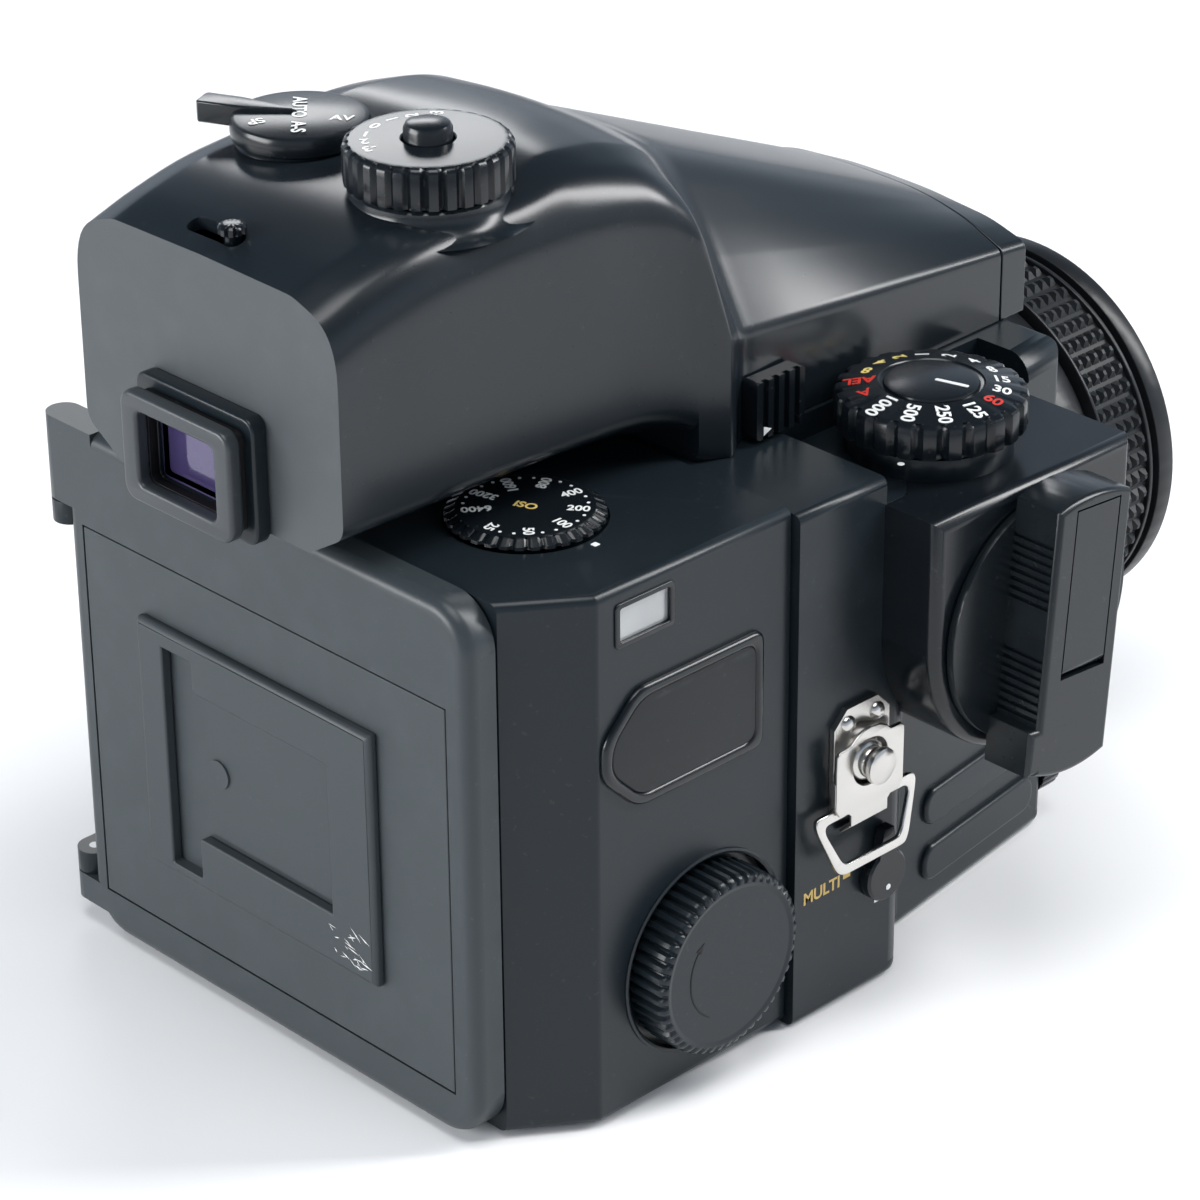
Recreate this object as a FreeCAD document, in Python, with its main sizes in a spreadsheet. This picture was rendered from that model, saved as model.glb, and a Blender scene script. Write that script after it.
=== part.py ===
import FreeCAD, Part
import math
import os

import Sketcher

# Medium format reflex camera: body, film magazine, prism finder, lens and winding crank.
# The lens points along -Y, the user stands on the +Y side, and the base rests on z = 0.
# The origin is the centre of the mouth of the tripod socket.

os.makedirs("parts", exist_ok=True)
doc = FreeCAD.newDocument("film_camera")
sheet = doc.addObject("Spreadsheet::Sheet", "Sizes")
UP = FreeCAD.Vector(0, 0, 1)
PLANE_ROLES = {"XY": "XY_Plane", "XZ": "XZ_Plane", "YZ": "YZ_Plane"}
AXES = {"x": FreeCAD.Vector(1, 0, 0), "y": FreeCAD.Vector(0, 1, 0), "z": FreeCAD.Vector(0, 0, 1)}
NODES = []


class Dim:
    """A length: its number in millimetres and the sheet expression that gives it."""

    def __init__(self, text, value):
        self.text = text
        self.value = value

    def join(self, other, sign, value, swap=False):
        other_text = other.text if isinstance(other, Dim) else repr(float(other))
        first, second = (other_text, self.text) if swap else (self.text, other_text)
        return Dim("(%s %s %s)" % (first, sign, second), value)

    def __add__(self, other):
        return self.join(other, "+", self.value + number(other))

    def __radd__(self, other):
        return self.join(other, "+", self.value + number(other), True)

    def __sub__(self, other):
        return self.join(other, "-", self.value - number(other))

    def __rsub__(self, other):
        return self.join(other, "-", number(other) - self.value, True)

    def __mul__(self, other):
        return self.join(other, "*", self.value * number(other))

    def __rmul__(self, other):
        return self.join(other, "*", self.value * number(other), True)

    def __truediv__(self, other):
        return self.join(other, "/", self.value / number(other))

    def __neg__(self):
        return Dim("(0 - %s)" % self.text, -self.value)


def number(length):
    return length.value if isinstance(length, Dim) else float(length)


def dim(length):
    return length if isinstance(length, Dim) else Dim(repr(float(length)), float(length))


sheet_rows = []


def size(alias, value):
    """Writes one driving dimension to the sheet and returns it."""
    sheet_rows.append(alias)
    row = len(sheet_rows)
    sheet.set("A%d" % row, alias)
    sheet.set("B%d" % row, str(value))
    sheet.setAlias("B%d" % row, alias)
    return Dim("Sizes.%s" % alias, float(sheet.getContents("B%d" % row)))


# Camera body
lens_axis_height = size("lens_axis_height", 50.7)
body_rear = size("body_rear", 38)
body_depth = size("body_depth", 80)
case_half_width = size("case_half_width", 48.2)
body_reach = size("body_reach", 58.3)
front_half_width = size("front_half_width", 43)
grip_start = size("grip_start", 13.5)
grip_root_reach = size("grip_root_reach", 49.4)
grip_root_rear = size("grip_root_rear", 4)
deck_height = size("deck_height", 93.5)
well_height = size("well_height", 88.9)
well_rear = size("well_rear", 18.2)
well_inner_reach = size("well_inner_reach", 32.9)
well_front_land = size("well_front_land", 10)
base_thickness = size("base_thickness", 2.5)
wall = size("wall", 3)
button_edge = size("button_edge", 0.4)
front_corner_round = size("front_corner_round", 2)
front_left_chamfer = size("front_left_chamfer", 9)
side_corner_round = size("side_corner_round", 4)
deck_edge_round = size("deck_edge_round", 1.5)
shoulder_round = size("shoulder_round", 4.4)
seam_gap = size("seam_gap", 0.4)
touch_gap = size("touch_gap", 0.3)
running_gap = size("running_gap", 0.05)
gate_width = size("gate_width", 57)
gate_height = size("gate_height", 43)
throat_radius = size("throat_radius", 29.5)
screen_window_width = size("screen_window_width", 60)
screen_window_front = size("screen_window_front", 24)
screen_window_rear = size("screen_window_rear", 32)
screen_lip = size("screen_lip", 2.5)
screen_ledge = size("screen_ledge", 87.5)
prism_seat = size("prism_seat", 96)
socket_radius = size("socket_radius", 3.175)
socket_depth = size("socket_depth", 5.5)
bush_radius = size("bush_radius", 6)
bush_flange_radius = size("bush_flange_radius", 8)
bush_flange_thickness = size("bush_flange_thickness", 1.2)
screw_head_radius = size("screw_head_radius", 2.4)
screw_shank_radius = size("screw_shank_radius", 1)
screw_length = size("screw_length", 6)
screw_inset = size("screw_inset", 6)
screw_boss_radius = size("screw_boss_radius", 4)
screw_head_sunk = size("screw_head_sunk", 0.3)
screw_head_depth = size("screw_head_depth", 1.4)

# Lens mount, lens release and shutter release on the front
mount_ring_radius = size("mount_ring_radius", 32.5)
mount_ring_bore = size("mount_ring_bore", 26.5)
mount_ring_thickness = size("mount_ring_thickness", 2)
lens_release_x = size("lens_release_x", 35.4)
lens_release_z = size("lens_release_z", 27)
lens_release_radius = size("lens_release_radius", 3.6)
lens_release_proud = size("lens_release_proud", 5)
release_x = size("release_x", 37)
release_z = size("release_z", 9.5)
release_button_radius = size("release_button_radius", 2.6)
flange_overhang = size("flange_overhang", 0.6)
flange_thickness = size("flange_thickness", 1.2)
release_button_proud = size("release_button_proud", 6)
collar_radius = size("collar_radius", 6.4)
collar_length = size("collar_length", 4.6)
collar_teeth = size("collar_teeth", 24)
collar_flute_radius = size("collar_flute_radius", 0.4)
release_boss_wall = size("release_boss_wall", 0.7)

# Focusing system
mirror_hinge_y = size("mirror_hinge_y", 28)
mirror_hinge_z = size("mirror_hinge_z", 79)
mirror_length = size("mirror_length", 57)
mirror_width = size("mirror_width", 54)
mirror_thickness = size("mirror_thickness", 1.8)
mirror_holder_thickness = size("mirror_holder_thickness", 1.4)
mirror_pin_radius = size("mirror_pin_radius", 1.5)
mirror_box_half_width = size("mirror_box_half_width", 33)
mirror_box_wall = size("mirror_box_wall", 1.5)
mirror_box_floor = size("mirror_box_floor", 20)
mirror_box_front = size("mirror_box_front", 8.5)
shutter_room = size("shutter_room", 4)
mirror_barrel_radius = size("mirror_barrel_radius", 2.2)
mirror_rest_angle = size("mirror_rest_angle", 45)
screen_thickness = size("screen_thickness", 2)
shutter_frame_thickness = size("shutter_frame_thickness", 2)
shutter_curtain_thickness = size("shutter_curtain_thickness", 0.4)

# Shutter dial and finder release on the deck
dial_x = size("dial_x", 49)
dial_y = size("dial_y", 2.2)
dial_radius = size("dial_radius", 15.7)
dial_height = size("dial_height", 6.4)
dial_flutes = size("dial_flutes", 24)
dial_flute_radius = size("dial_flute_radius", 0.9)
dial_post_radius = size("dial_post_radius", 4)
dial_collar_radius = size("dial_collar_radius", 13.6)
dial_collar_height = size("dial_collar_height", 3.8)
dial_cap_radius = size("dial_cap_radius", 7.5)
dial_cap_thickness = size("dial_cap_thickness", 0.8)
finder_release_length = size("finder_release_length", 11)
finder_release_thickness = size("finder_release_thickness", 3.2)
finder_release_lift = size("finder_release_lift", 1)
finder_release_pitch = size("finder_release_pitch", 2.4)
finder_release_height = size("finder_release_height", 10)

# Winding crank
crank_y = size("crank_y", 5)
crank_z = size("crank_z", 65.3)
crank_housing_radius = size("crank_housing_radius", 23.6)
crank_housing_reach = size("crank_housing_reach", 69.6)
crank_housing_round = size("crank_housing_round", 2)
crank_disc_radius = size("crank_disc_radius", 21)
crank_disc_thickness = size("crank_disc_thickness", 1.4)
crank_hub_radius = size("crank_hub_radius", 6)
crank_hub_floor = size("crank_hub_floor", 3.3)
crank_arm_depth = size("crank_arm_depth", 9.2)
crank_arm_width = size("crank_arm_width", 17.5)
crank_arm_radius = size("crank_arm_radius", 24.6)
crank_arm_tilt = size("crank_arm_tilt", 4.5)
crank_arm_round = size("crank_arm_round", 1)
crank_toe_proud = size("crank_toe_proud", 2)
crank_flap_width = size("crank_flap_width", 10.2)
crank_flap_length = size("crank_flap_length", 29)
crank_flap_thickness = size("crank_flap_thickness", 3)
crank_flap_offset = size("crank_flap_offset", 0.5)
crank_flap_top = size("crank_flap_top", 22.4)
crank_flap_pin_radius = size("crank_flap_pin_radius", 0.9)
crank_flap_pin_length = size("crank_flap_pin_length", 1.2)
crank_rib_pitch = size("crank_rib_pitch", 1.5)
crank_rib_depth = size("crank_rib_depth", 0.5)
crank_rib_count = size("crank_rib_count", 8)

# Side fittings: strap lugs and multiple exposure lever
lug_y = size("lug_y", 24)
lug_z = size("lug_z", 46)
lug_plate_width = size("lug_plate_width", 13)
lug_plate_height = size("lug_plate_height", 18.5)
lug_plate_thickness = size("lug_plate_thickness", 1.2)
lug_stud_radius = size("lug_stud_radius", 2.4)
lug_stud_step_radius = size("lug_stud_step_radius", 4)
lug_stud_step_length = size("lug_stud_step_length", 2)
lug_cap_radius = size("lug_cap_radius", 3.2)
lug_cap_thickness = size("lug_cap_thickness", 1.6)
strap_tab_thickness = size("strap_tab_thickness", 1)
strap_tab_width = size("strap_tab_width", 9)
strap_tab_drop = size("strap_tab_drop", 11.5)
strap_ring_width = size("strap_ring_width", 23.5)
strap_ring_height = size("strap_ring_height", 10.5)
strap_wire_radius = size("strap_wire_radius", 0.9)
strap_ring_tilt = size("strap_ring_tilt", 10)
multi_lever_y = size("multi_lever_y", 18)
multi_lever_z = size("multi_lever_z", 21.5)
multi_lever_radius = size("multi_lever_radius", 4.6)
multi_lever_thickness = size("multi_lever_thickness", 2)
multi_lever_length = size("multi_lever_length", 9)
multi_stem_radius = size("multi_stem_radius", 1.5)
finger_pad_height = size("finger_pad_height", 7)
finger_pad_proud = size("finger_pad_proud", 1)
finger_pad_low = size("finger_pad_low", 5)
finger_pad_pitch = size("finger_pad_pitch", 11)
finger_pad_length = size("finger_pad_length", 34)
finger_pad_inset = size("finger_pad_inset", 8)

# Film magazine
magazine_rear = size("magazine_rear", 92.6)
magazine_reach = size("magazine_reach", 56.7)
magazine_height = size("magazine_height", 94.5)
magazine_slant_start = size("magazine_slant_start", 80.3)
magazine_wall = size("magazine_wall", 2.5)
magazine_low = size("magazine_low", 0.6)
film_gate_width = size("film_gate_width", 56)
film_gate_height = size("film_gate_height", 41.5)
insert_half_width = size("insert_half_width", 36)
insert_wall = size("insert_wall", 1.5)
insert_clearance = size("insert_clearance", 0.6)
insert_rear = size("insert_rear", 88)
insert_low = size("insert_low", 5)
insert_high = size("insert_high", 90)
spool_flange_radius = size("spool_flange_radius", 12.5)
spool_core_radius = size("spool_core_radius", 5.5)
spool_length = size("spool_length", 63.5)
spool_flange_thickness = size("spool_flange_thickness", 1)
spool_pin_radius = size("spool_pin_radius", 2)
spool_bore_depth = size("spool_bore_depth", 3)
spool_y = size("spool_y", 66)
supply_spool_z = size("supply_spool_z", 74)
roller_radius = size("roller_radius", 3)
roller_low = size("roller_low", 8.5)
roller_high = size("roller_high", 82)
wind_knob_y = size("wind_knob_y", 57.3)
wind_knob_z = size("wind_knob_z", 22.8)
wind_knob_radius = size("wind_knob_radius", 15.6)
wind_knob_reach = size("wind_knob_reach", 63)
wind_knob_thickness = size("wind_knob_thickness", 8)
wind_knob_ribs = size("wind_knob_ribs", 50)
wind_shaft_radius = size("wind_shaft_radius", 3)
wind_rib_radius = size("wind_rib_radius", 0.35)
wind_knob_gap = size("wind_knob_gap", 1.3)
window_y = size("window_y", 70.3)
window_z = size("window_z", 88)
window_width = size("window_width", 12)
window_height = size("window_height", 7)
window_recess = size("window_recess", 1.6)
window_thickness = size("window_thickness", 1.2)
pad_recess_depth = size("pad_recess_depth", 1.2)
pad_rear = size("pad_rear", 79.4)
pad_front = size("pad_front", 45.2)
pad_low = size("pad_low", 56)
pad_high = size("pad_high", 76)
pad_chamfer = size("pad_chamfer", 1.6)
pad_bevel = size("pad_bevel", 7)
iso_x = size("iso_x", 29.5)
iso_y = size("iso_y", 69)
iso_radius = size("iso_radius", 12.7)
iso_proud = size("iso_proud", 1)
iso_sunk = size("iso_sunk", 1.4)
iso_stem_radius = size("iso_stem_radius", 2.5)
iso_stem_tail = size("iso_stem_tail", 1)
slide_width = size("slide_width", 60)
slide_height = size("slide_height", 46)
slide_thickness = size("slide_thickness", 0.6)
slide_handle_depth = size("slide_handle_depth", 5)
slide_handle_reach = size("slide_handle_reach", 7)
slide_gap = size("slide_gap", 0.5)

# Rear door
door_thickness = size("door_thickness", 6)
door_corner_round = size("door_corner_round", 8)
door_height = size("door_height", 95)
door_edge_round = size("door_edge_round", 2.5)
door_skin = size("door_skin", 2.2)
door_rim = size("door_rim", 4)
hinge_band_low = size("hinge_band_low", 80)
hinge_knuckle_low = size("hinge_knuckle_low", 4)
hinge_knuckle_high = size("hinge_knuckle_high", 9)
hinge_x = size("hinge_x", 50.6)
hinge_cap = size("hinge_cap", 3)
knuckle_radius = size("knuckle_radius", 3)
knuckle_gap = size("knuckle_gap", 0.3)
lug_height = size("lug_height", 4)
hinge_pin_radius = size("hinge_pin_radius", 1)
door_panel_left = size("door_panel_left", 43.5)
door_panel_low = size("door_panel_low", 8.7)
door_panel_high = size("door_panel_high", 77.8)
door_panel_thickness = size("door_panel_thickness", 0.9)
door_panel_gap = size("door_panel_gap", 0.3)
memo_left = size("memo_left", 27.5)
memo_right = size("memo_right", 29)
memo_low = size("memo_low", 21.8)
memo_high = size("memo_high", 67.3)
memo_proud = size("memo_proud", 2)
memo_edge_round = size("memo_edge_round", 1.2)
memo_window_left = size("memo_window_left", 17.5)
memo_window_right = size("memo_window_right", 15)
memo_window_low = size("memo_window_low", 31.5)
memo_window_high = size("memo_window_high", 58.5)
memo_slot_right = size("memo_slot_right", 22.4)
memo_slot_low = size("memo_slot_low", 24)
memo_slot_high = size("memo_slot_high", 64.1)
memo_spring_thickness = size("memo_spring_thickness", 0.8)
memo_spring_gap = size("memo_spring_gap", 1.5)
memo_bump_radius = size("memo_bump_radius", 2.5)
latch_z = size("latch_z", 58.6)
latch_length = size("latch_length", 7)
latch_thickness = size("latch_thickness", 1.5)
latch_reach = size("latch_reach", 5)
pressure_plate_width = size("pressure_plate_width", 62)
pressure_plate_height = size("pressure_plate_height", 50)
pressure_plate_thickness = size("pressure_plate_thickness", 1.2)

# Prism finder
prism_rear = size("prism_rear", 106.4)
prism_overhang = size("prism_overhang", 4)
prism_front_frame_depth = size("prism_front_frame_depth", 6.5)
prism_wall = size("prism_wall", 2)
tunnel_half_width = size("tunnel_half_width", 30.3)
tunnel_floor = size("tunnel_floor", 99)
tunnel_rear_height = size("tunnel_rear_height", 140.5)
tunnel_mid_height = size("tunnel_mid_height", 146)
tunnel_mid_y = size("tunnel_mid_y", 74)
hood_crease_drop = size("hood_crease_drop", 2.5)
hood_bend_y = size("hood_bend_y", 8)
hood_bend_rise = size("hood_bend_rise", 3)
hood_mid_rise = size("hood_mid_rise", 5.5)
hood_rear_rise = size("hood_rear_rise", 7)
hood_step = size("hood_step", 6)
hood_ridge_front = size("hood_ridge_front", 15)
hood_ridge_bend = size("hood_ridge_bend", 16)
hood_ridge_mid = size("hood_ridge_mid", 17)
hood_ridge_rear = size("hood_ridge_rear", 18)
finder_foot = size("finder_foot", 4)
crease_round = size("crease_round", 1.6)
crown_flat = size("crown_flat", 8)
crown_rise = size("crown_rise", 0.7)
crown_peak = size("crown_peak", 1.1)
knee_step = size("knee_step", 1.8)
shoulder_drop = size("shoulder_drop", 4.5)
shoulder_rise = size("shoulder_rise", 3)
shoulder_ridge = size("shoulder_ridge", 20)
tunnel_front_y = size("tunnel_front_y", 46)
tunnel_flat = size("tunnel_flat", 13)
tunnel_flare = size("tunnel_flare", 2.2)
floor_tuck = size("floor_tuck", 10)
crest_round = size("crest_round", 6)
hood_rear_y = size("hood_rear_y", 30)
hood_half_width = size("hood_half_width", 36)
hood_mid_half_width = size("hood_mid_half_width", 32.9)
hood_mid_y = size("hood_mid_y", 25)
hood_crest_height = size("hood_crest_height", 149)
hood_crest_y = size("hood_crest_y", 52)
hood_front_half_width = size("hood_front_half_width", 31)
hood_front_height = size("hood_front_height", 108.5)
front_frame_chamfer = size("front_frame_chamfer", 3)
front_lip = size("front_lip", 2.5)
pentaprism_half_width = size("pentaprism_half_width", 20)
pentaprism_height = size("pentaprism_height", 26)
pentaprism_front_height = size("pentaprism_front_height", 7)
pentaprism_rear_height = size("pentaprism_rear_height", 8)
eyepiece_z = size("eyepiece_z", 108)
eyepiece_frame_width = size("eyepiece_frame_width", 27.5)
eyepiece_frame_height = size("eyepiece_frame_height", 21)
eyepiece_frame_thickness = size("eyepiece_frame_thickness", 3)
eyepiece_neck_length = size("eyepiece_neck_length", 1.4)
eyecup_width = size("eyecup_width", 25.6)
eyecup_height = size("eyecup_height", 18.4)
eyecup_thickness = size("eyecup_thickness", 2.6)
eyepiece_opening_width = size("eyepiece_opening_width", 18.4)
eyepiece_opening_height = size("eyepiece_opening_height", 12.6)
eyepiece_lens_thickness = size("eyepiece_lens_thickness", 2)
eyepiece_corner_round = size("eyepiece_corner_round", 2)
knob_y = size("knob_y", 74)
mode_dial_x = size("mode_dial_x", 14.5)
mode_dial_radius = size("mode_dial_radius", 10.9)
mode_dial_top = size("mode_dial_top", 150)
mode_dial_height = size("mode_dial_height", 3.8)
mode_tab_length = size("mode_tab_length", 6)
mode_tab_width = size("mode_tab_width", 4)
mode_rest_angle = size("mode_rest_angle", 25)
compensation_x = size("compensation_x", 15)
compensation_radius = size("compensation_radius", 13)
compensation_top = size("compensation_top", 154)
compensation_height = size("compensation_height", 7)
compensation_flutes = size("compensation_flutes", 30)
compensation_flute_radius = size("compensation_flute_radius", 0.7)
compensation_button_radius = size("compensation_button_radius", 3.8)
compensation_button_proud = size("compensation_button_proud", 2.6)
compensation_button_travel = size("compensation_button_travel", 1.5)
knob_post_radius = size("knob_post_radius", 2.5)
knob_post_depth = size("knob_post_depth", 4)
blind_slot_length = size("blind_slot_length", 12)
blind_slot_width = size("blind_slot_width", 3.2)
blind_slot_y = size("blind_slot_y", 101.6)
blind_slot_x = size("blind_slot_x", 1.8)
blind_lever_x = size("blind_lever_x", 1.9)
blind_stem_depth = size("blind_stem_depth", 3)
blind_lever_height = size("blind_lever_height", 4.2)
blind_lever_width = size("blind_lever_width", 4.4)

# Lens
lens_length = size("lens_length", 43)
lens_rim_radius = size("lens_rim_radius", 35)
lens_rim_length = size("lens_rim_length", 4.2)
grip_reach = size("grip_reach", 25.2)
grip_radius = size("grip_radius", 34.6)
lens_ring_radius = size("lens_ring_radius", 33)
ring_gap = size("ring_gap", 1)
ring_step = size("ring_step", 2)
grip_rim = size("grip_rim", 0.8)
grip_thickness = size("grip_thickness", 1.4)
barrel_tail = size("barrel_tail", 7)
barrel_tube_wall = size("barrel_tube_wall", 2)
front_tube_wall = size("front_tube_wall", 2)
front_tube_gap = size("front_tube_gap", 1)
front_cell_reach = size("front_cell_reach", 30)
iris_reach = size("iris_reach", 10)
iris_room = size("iris_room", 4)
iris_pitch = size("iris_pitch", 0.5)
aperture_ring_length = size("aperture_ring_length", 8)
barrel_inner_radius = size("barrel_inner_radius", 23)
barrel_base_length = size("barrel_base_length", 7)
focus_tube_radius = size("focus_tube_radius", 29.5)
filter_radius = size("filter_radius", 29)
filter_depth = size("filter_depth", 3)
front_glass_radius = size("front_glass_radius", 19)
front_glass_thickness = size("front_glass_thickness", 6)
rear_glass_radius = size("rear_glass_radius", 15)
rear_glass_thickness = size("rear_glass_thickness", 4)
iris_radius = size("iris_radius", 17)
iris_blade_thickness = size("iris_blade_thickness", 0.3)
iris_blades_count = size("iris_blades_count", 6)

# Shares: how much of a size a smaller feature of the same piece takes
overshoot = 1.1
pad_end_share = 0.45
pad_rim_share = 0.8
base_rim_share = 0.6
catch_rib_share = 0.75
crank_block_outer_share = 0.92
crank_block_inner_share = 0.6
crank_rib_upper_share = 0.24
crank_rib_lower_share = 0.56
lug_top_share = 0.54
lug_clip_share = 0.22
strap_tab_round_share = 0.3
strap_loop_round_share = 0.25
multi_root_share = 0.6
multi_tip_share = 0.25
slot_gap_share = 0.75
insert_bore_share = 0.9
handle_corner_share = 0.4
memo_bump_share = 1.5
front_wall_share = 0.96
boss_share = 0.92
front_lip_share = 0.95
prism_front_share = 0.8
prism_rear_share = 1.2
prism_top_share = 0.8
neck_share = 0.9
mode_tab_root_share = 0.9
knob_well_share = 0.7
iris_tip_share = 0.5
iris_opening_share = 0.62
iris_root_share = 0.75
iris_reach_share = 1.1
strap_slot_drop_share = 0.5
strap_seat_share = 1.5
strap_slot_width_share = 0.6
hood_cheek_share = 0.76
tunnel_cheek_share = 0.6
flare_rear_share = 0.75
crown_line = 0.1

doc.recompute()
body_front = body_depth - body_rear
magazine_front = body_rear + seam_gap
door_front = magazine_rear + seam_gap
door_rear = door_front + door_thickness
disc_face = crank_housing_reach + touch_gap + crank_disc_thickness
crank_arm_reach = disc_face + crank_arm_depth
crank_hub_length = crank_housing_reach - body_reach - crank_hub_floor
prism_front = body_front + prism_overhang
lens_rim_y = body_front + lens_length
barrel_rear = barrel_tail - body_front
front_cell_rear = -(body_front + front_cell_reach)
iris_y = -(body_front + iris_reach)


def bind(item, path, length):
    item.setExpression(path, dim(length).text)


def place(item, x=0, y=0, z=0):
    """Binds the object's position to sheet lengths."""
    for axis, length in zip("xyz", (x, y, z)):
        if isinstance(length, Dim) or length:
            bind(item, "Placement.Base." + axis, length)
    return item


def keep(item, node):
    """Marks a finished sub-part: its label is the node's name."""
    item.Label = node
    NODES.append(item)
    return item


def box(name, x, y, z):
    """Box between two lengths on each axis."""
    item = doc.addObject("Part::Box", name)
    for side, low, high in (("Length", x[0], x[1]), ("Width", y[0], y[1]), ("Height", z[0], z[1])):
        bind(item, side, dim(high) - dim(low))
    return place(item, dim(x[0]), dim(y[0]), dim(z[0]))


def rod(name, axis, radius, low, high, across=(0, 0)):
    """Cylinder along one axis from low to high; across holds its place on the other two axes."""
    item = doc.addObject("Part::Cylinder", name)
    bind(item, "Radius", radius)
    bind(item, "Height", dim(high) - dim(low))
    spots = {"x": (low, across[0], across[1]), "y": (across[0], low, across[1]),
             "z": (across[0], across[1], low)}[axis]
    item.Placement.Rotation = FreeCAD.Rotation(UP, AXES[axis])
    return place(item, *[dim(spot) for spot in spots])


def cut(name, base, *tools):
    """Base less each tool in turn."""
    for index, tool in enumerate(tools):
        item = doc.addObject("Part::Cut", "%s_cut%d" % (name, index))
        item.Base = base
        item.Tool = tool
        base = item
    return base


def fuse(name, base, *others):
    """Base joined with each other piece in turn."""
    for index, other in enumerate(others):
        item = doc.addObject("Part::Fuse", "%s_fuse%d" % (name, index))
        item.Base = base
        item.Tool = other
        item.Refine = True
        base = item
    return base


def plane_of(body, plane):
    role = PLANE_ROLES[plane]
    return next(item for item in body.Origin.OriginFeatures if item.Role == role)


def sketch_at(body, plane, name, offset):
    """Sketch on one of the body's own planes, moved along the plane's normal."""
    sketch = body.newObject("Sketcher::SketchObject", name)
    sketch.AttachmentSupport = [(plane_of(body, plane), "")]
    sketch.MapMode = "FlatFace"
    bind(sketch, ".AttachmentOffset.Base.z", offset)
    return sketch


def pin_point(sketch, geometry, end, x, y):
    """Ties one point of the sketch to its place from the sketch's origin."""
    for kind, length in (("DistanceX", dim(x)), ("DistanceY", dim(y))):
        index = sketch.addConstraint(Sketcher.Constraint(kind, -1, 1, geometry, end, length.value))
        sketch.setExpression("Constraints[%d]" % index, length.text)


def outline(sketch, points):
    """Closed outline of straight lines through fully placed points."""
    vectors = [FreeCAD.Vector(number(x), number(y), 0) for x, y in points]
    count = len(points)
    lines = [Part.LineSegment(vectors[i], vectors[(i + 1) % count]) for i in range(count)]
    first = sketch.addGeometry(lines, False)[0]
    for i in range(count):
        sketch.addConstraint(Sketcher.Constraint("Coincident", first + i, 2, first + (i + 1) % count, 1))
    for i, (x, y) in enumerate(points):
        pin_point(sketch, first + i, 1, x, y)


def circle(sketch, x, y, radius):
    centre = FreeCAD.Vector(number(x), number(y), 0)
    index = sketch.addGeometry(Part.Circle(centre, UP, number(radius)), False)
    pin_point(sketch, index, 3, x, y)
    constraint = sketch.addConstraint(Sketcher.Constraint("Radius", index, number(radius)))
    sketch.setExpression("Constraints[%d]" % constraint, dim(radius).text)


def new_body(name, x=0, y=0, z=0):
    return place(doc.addObject("PartDesign::Body", name), x, y, z)


def slab(body, plane, low, high, draw, removes=False):
    """Pad or pocket that spans low to high along the plane's axis; draw fills its sketch."""
    kind = "Pocket" if removes else "Pad"
    name = "%s_%s%d" % (body.Name, kind.lower(), len(body.Group))
    flips = plane == "XZ"
    start = high if removes != flips else low
    sketch = sketch_at(body, plane, name + "_sketch", -dim(start) if flips else dim(start))
    draw(sketch)
    feature = body.newObject("PartDesign::" + kind, name)
    feature.Profile = sketch
    bind(feature, "Length", dim(high) - dim(low))
    return feature


def turn(body, points, plane="YZ", axis="H_Axis", removes=False):
    """Revolves a closed outline about one axis of its sketch."""
    kind = "Groove" if removes else "Revolution"
    name = "%s_%s%d" % (body.Name, kind.lower(), len(body.Group))
    sketch = sketch_at(body, plane, name + "_sketch", 0)
    outline(sketch, points)
    feature = body.newObject("PartDesign::" + kind, name)
    feature.Profile = sketch
    feature.ReferenceAxis = (sketch, [axis])
    feature.Angle = 360
    return feature


def polar(body, feature, axis_role, count):
    """Repeats one feature round an origin axis of the body."""
    pattern = body.newObject("PartDesign::PolarPattern", body.Name + "_pattern")
    pattern.Originals = [feature]
    axis = next(item for item in body.Origin.OriginFeatures if item.Role == axis_role)
    pattern.Axis = (axis, [""])
    pattern.Angle = 360
    bind(pattern, "Occurrences", count)
    body.Tip = pattern
    return pattern


def round_edges(body, name, radius, wanted):
    """Fillets the edges of the body's last feature that wanted() picks."""
    doc.recompute()
    base = body.Tip
    names = ["Edge%d" % (i + 1) for i, edge in enumerate(base.Shape.Edges) if wanted(edge)]
    fillet = body.newObject("PartDesign::Fillet", "%s_%s" % (body.Name, name))
    fillet.Base = (base, names)
    bind(fillet, "Radius", radius)
    return fillet


def near(first, second, slack=0.02):
    return abs(first - number(second)) < slack


def spans(edge, axis, value):
    """True where the whole edge lies at one value of an axis."""
    return all(near(getattr(vertex.Point, axis), value) for vertex in edge.Vertexes)


def is_along(edge, axis):
    """True for a straight edge that runs along one axis."""
    if len(edge.Vertexes) != 2:
        return False
    low, high = edge.Vertexes[0].Point, edge.Vertexes[1].Point
    return all(near(getattr(low, other), getattr(high, other)) for other in "xyz" if other != axis)


def rectangle(sketch, x_low, x_high, y_low, y_high):
    outline(sketch, [(x_low, y_low), (x_high, y_low), (x_high, y_high), (x_low, y_high)])


def centred_rectangle(sketch, x, y, width, height):
    rectangle(sketch, x - width / 2, x + width / 2, y - height / 2, y + height / 2)


def group(node, *pieces):
    """Separate solids that share one node."""
    item = doc.addObject("Part::Compound", node)
    item.Links = list(pieces)
    return keep(item, node)


def body_plan():
    """Outline of the body seen from above: the right side narrows forward to a finger grip."""
    return [(-body_reach, body_rear), (-body_reach, grip_start), (-grip_root_reach, grip_root_rear),
            (-front_half_width, -body_front), (front_half_width, -body_front),
            (case_half_width, front_left_chamfer - body_front), (case_half_width, body_rear)]


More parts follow.
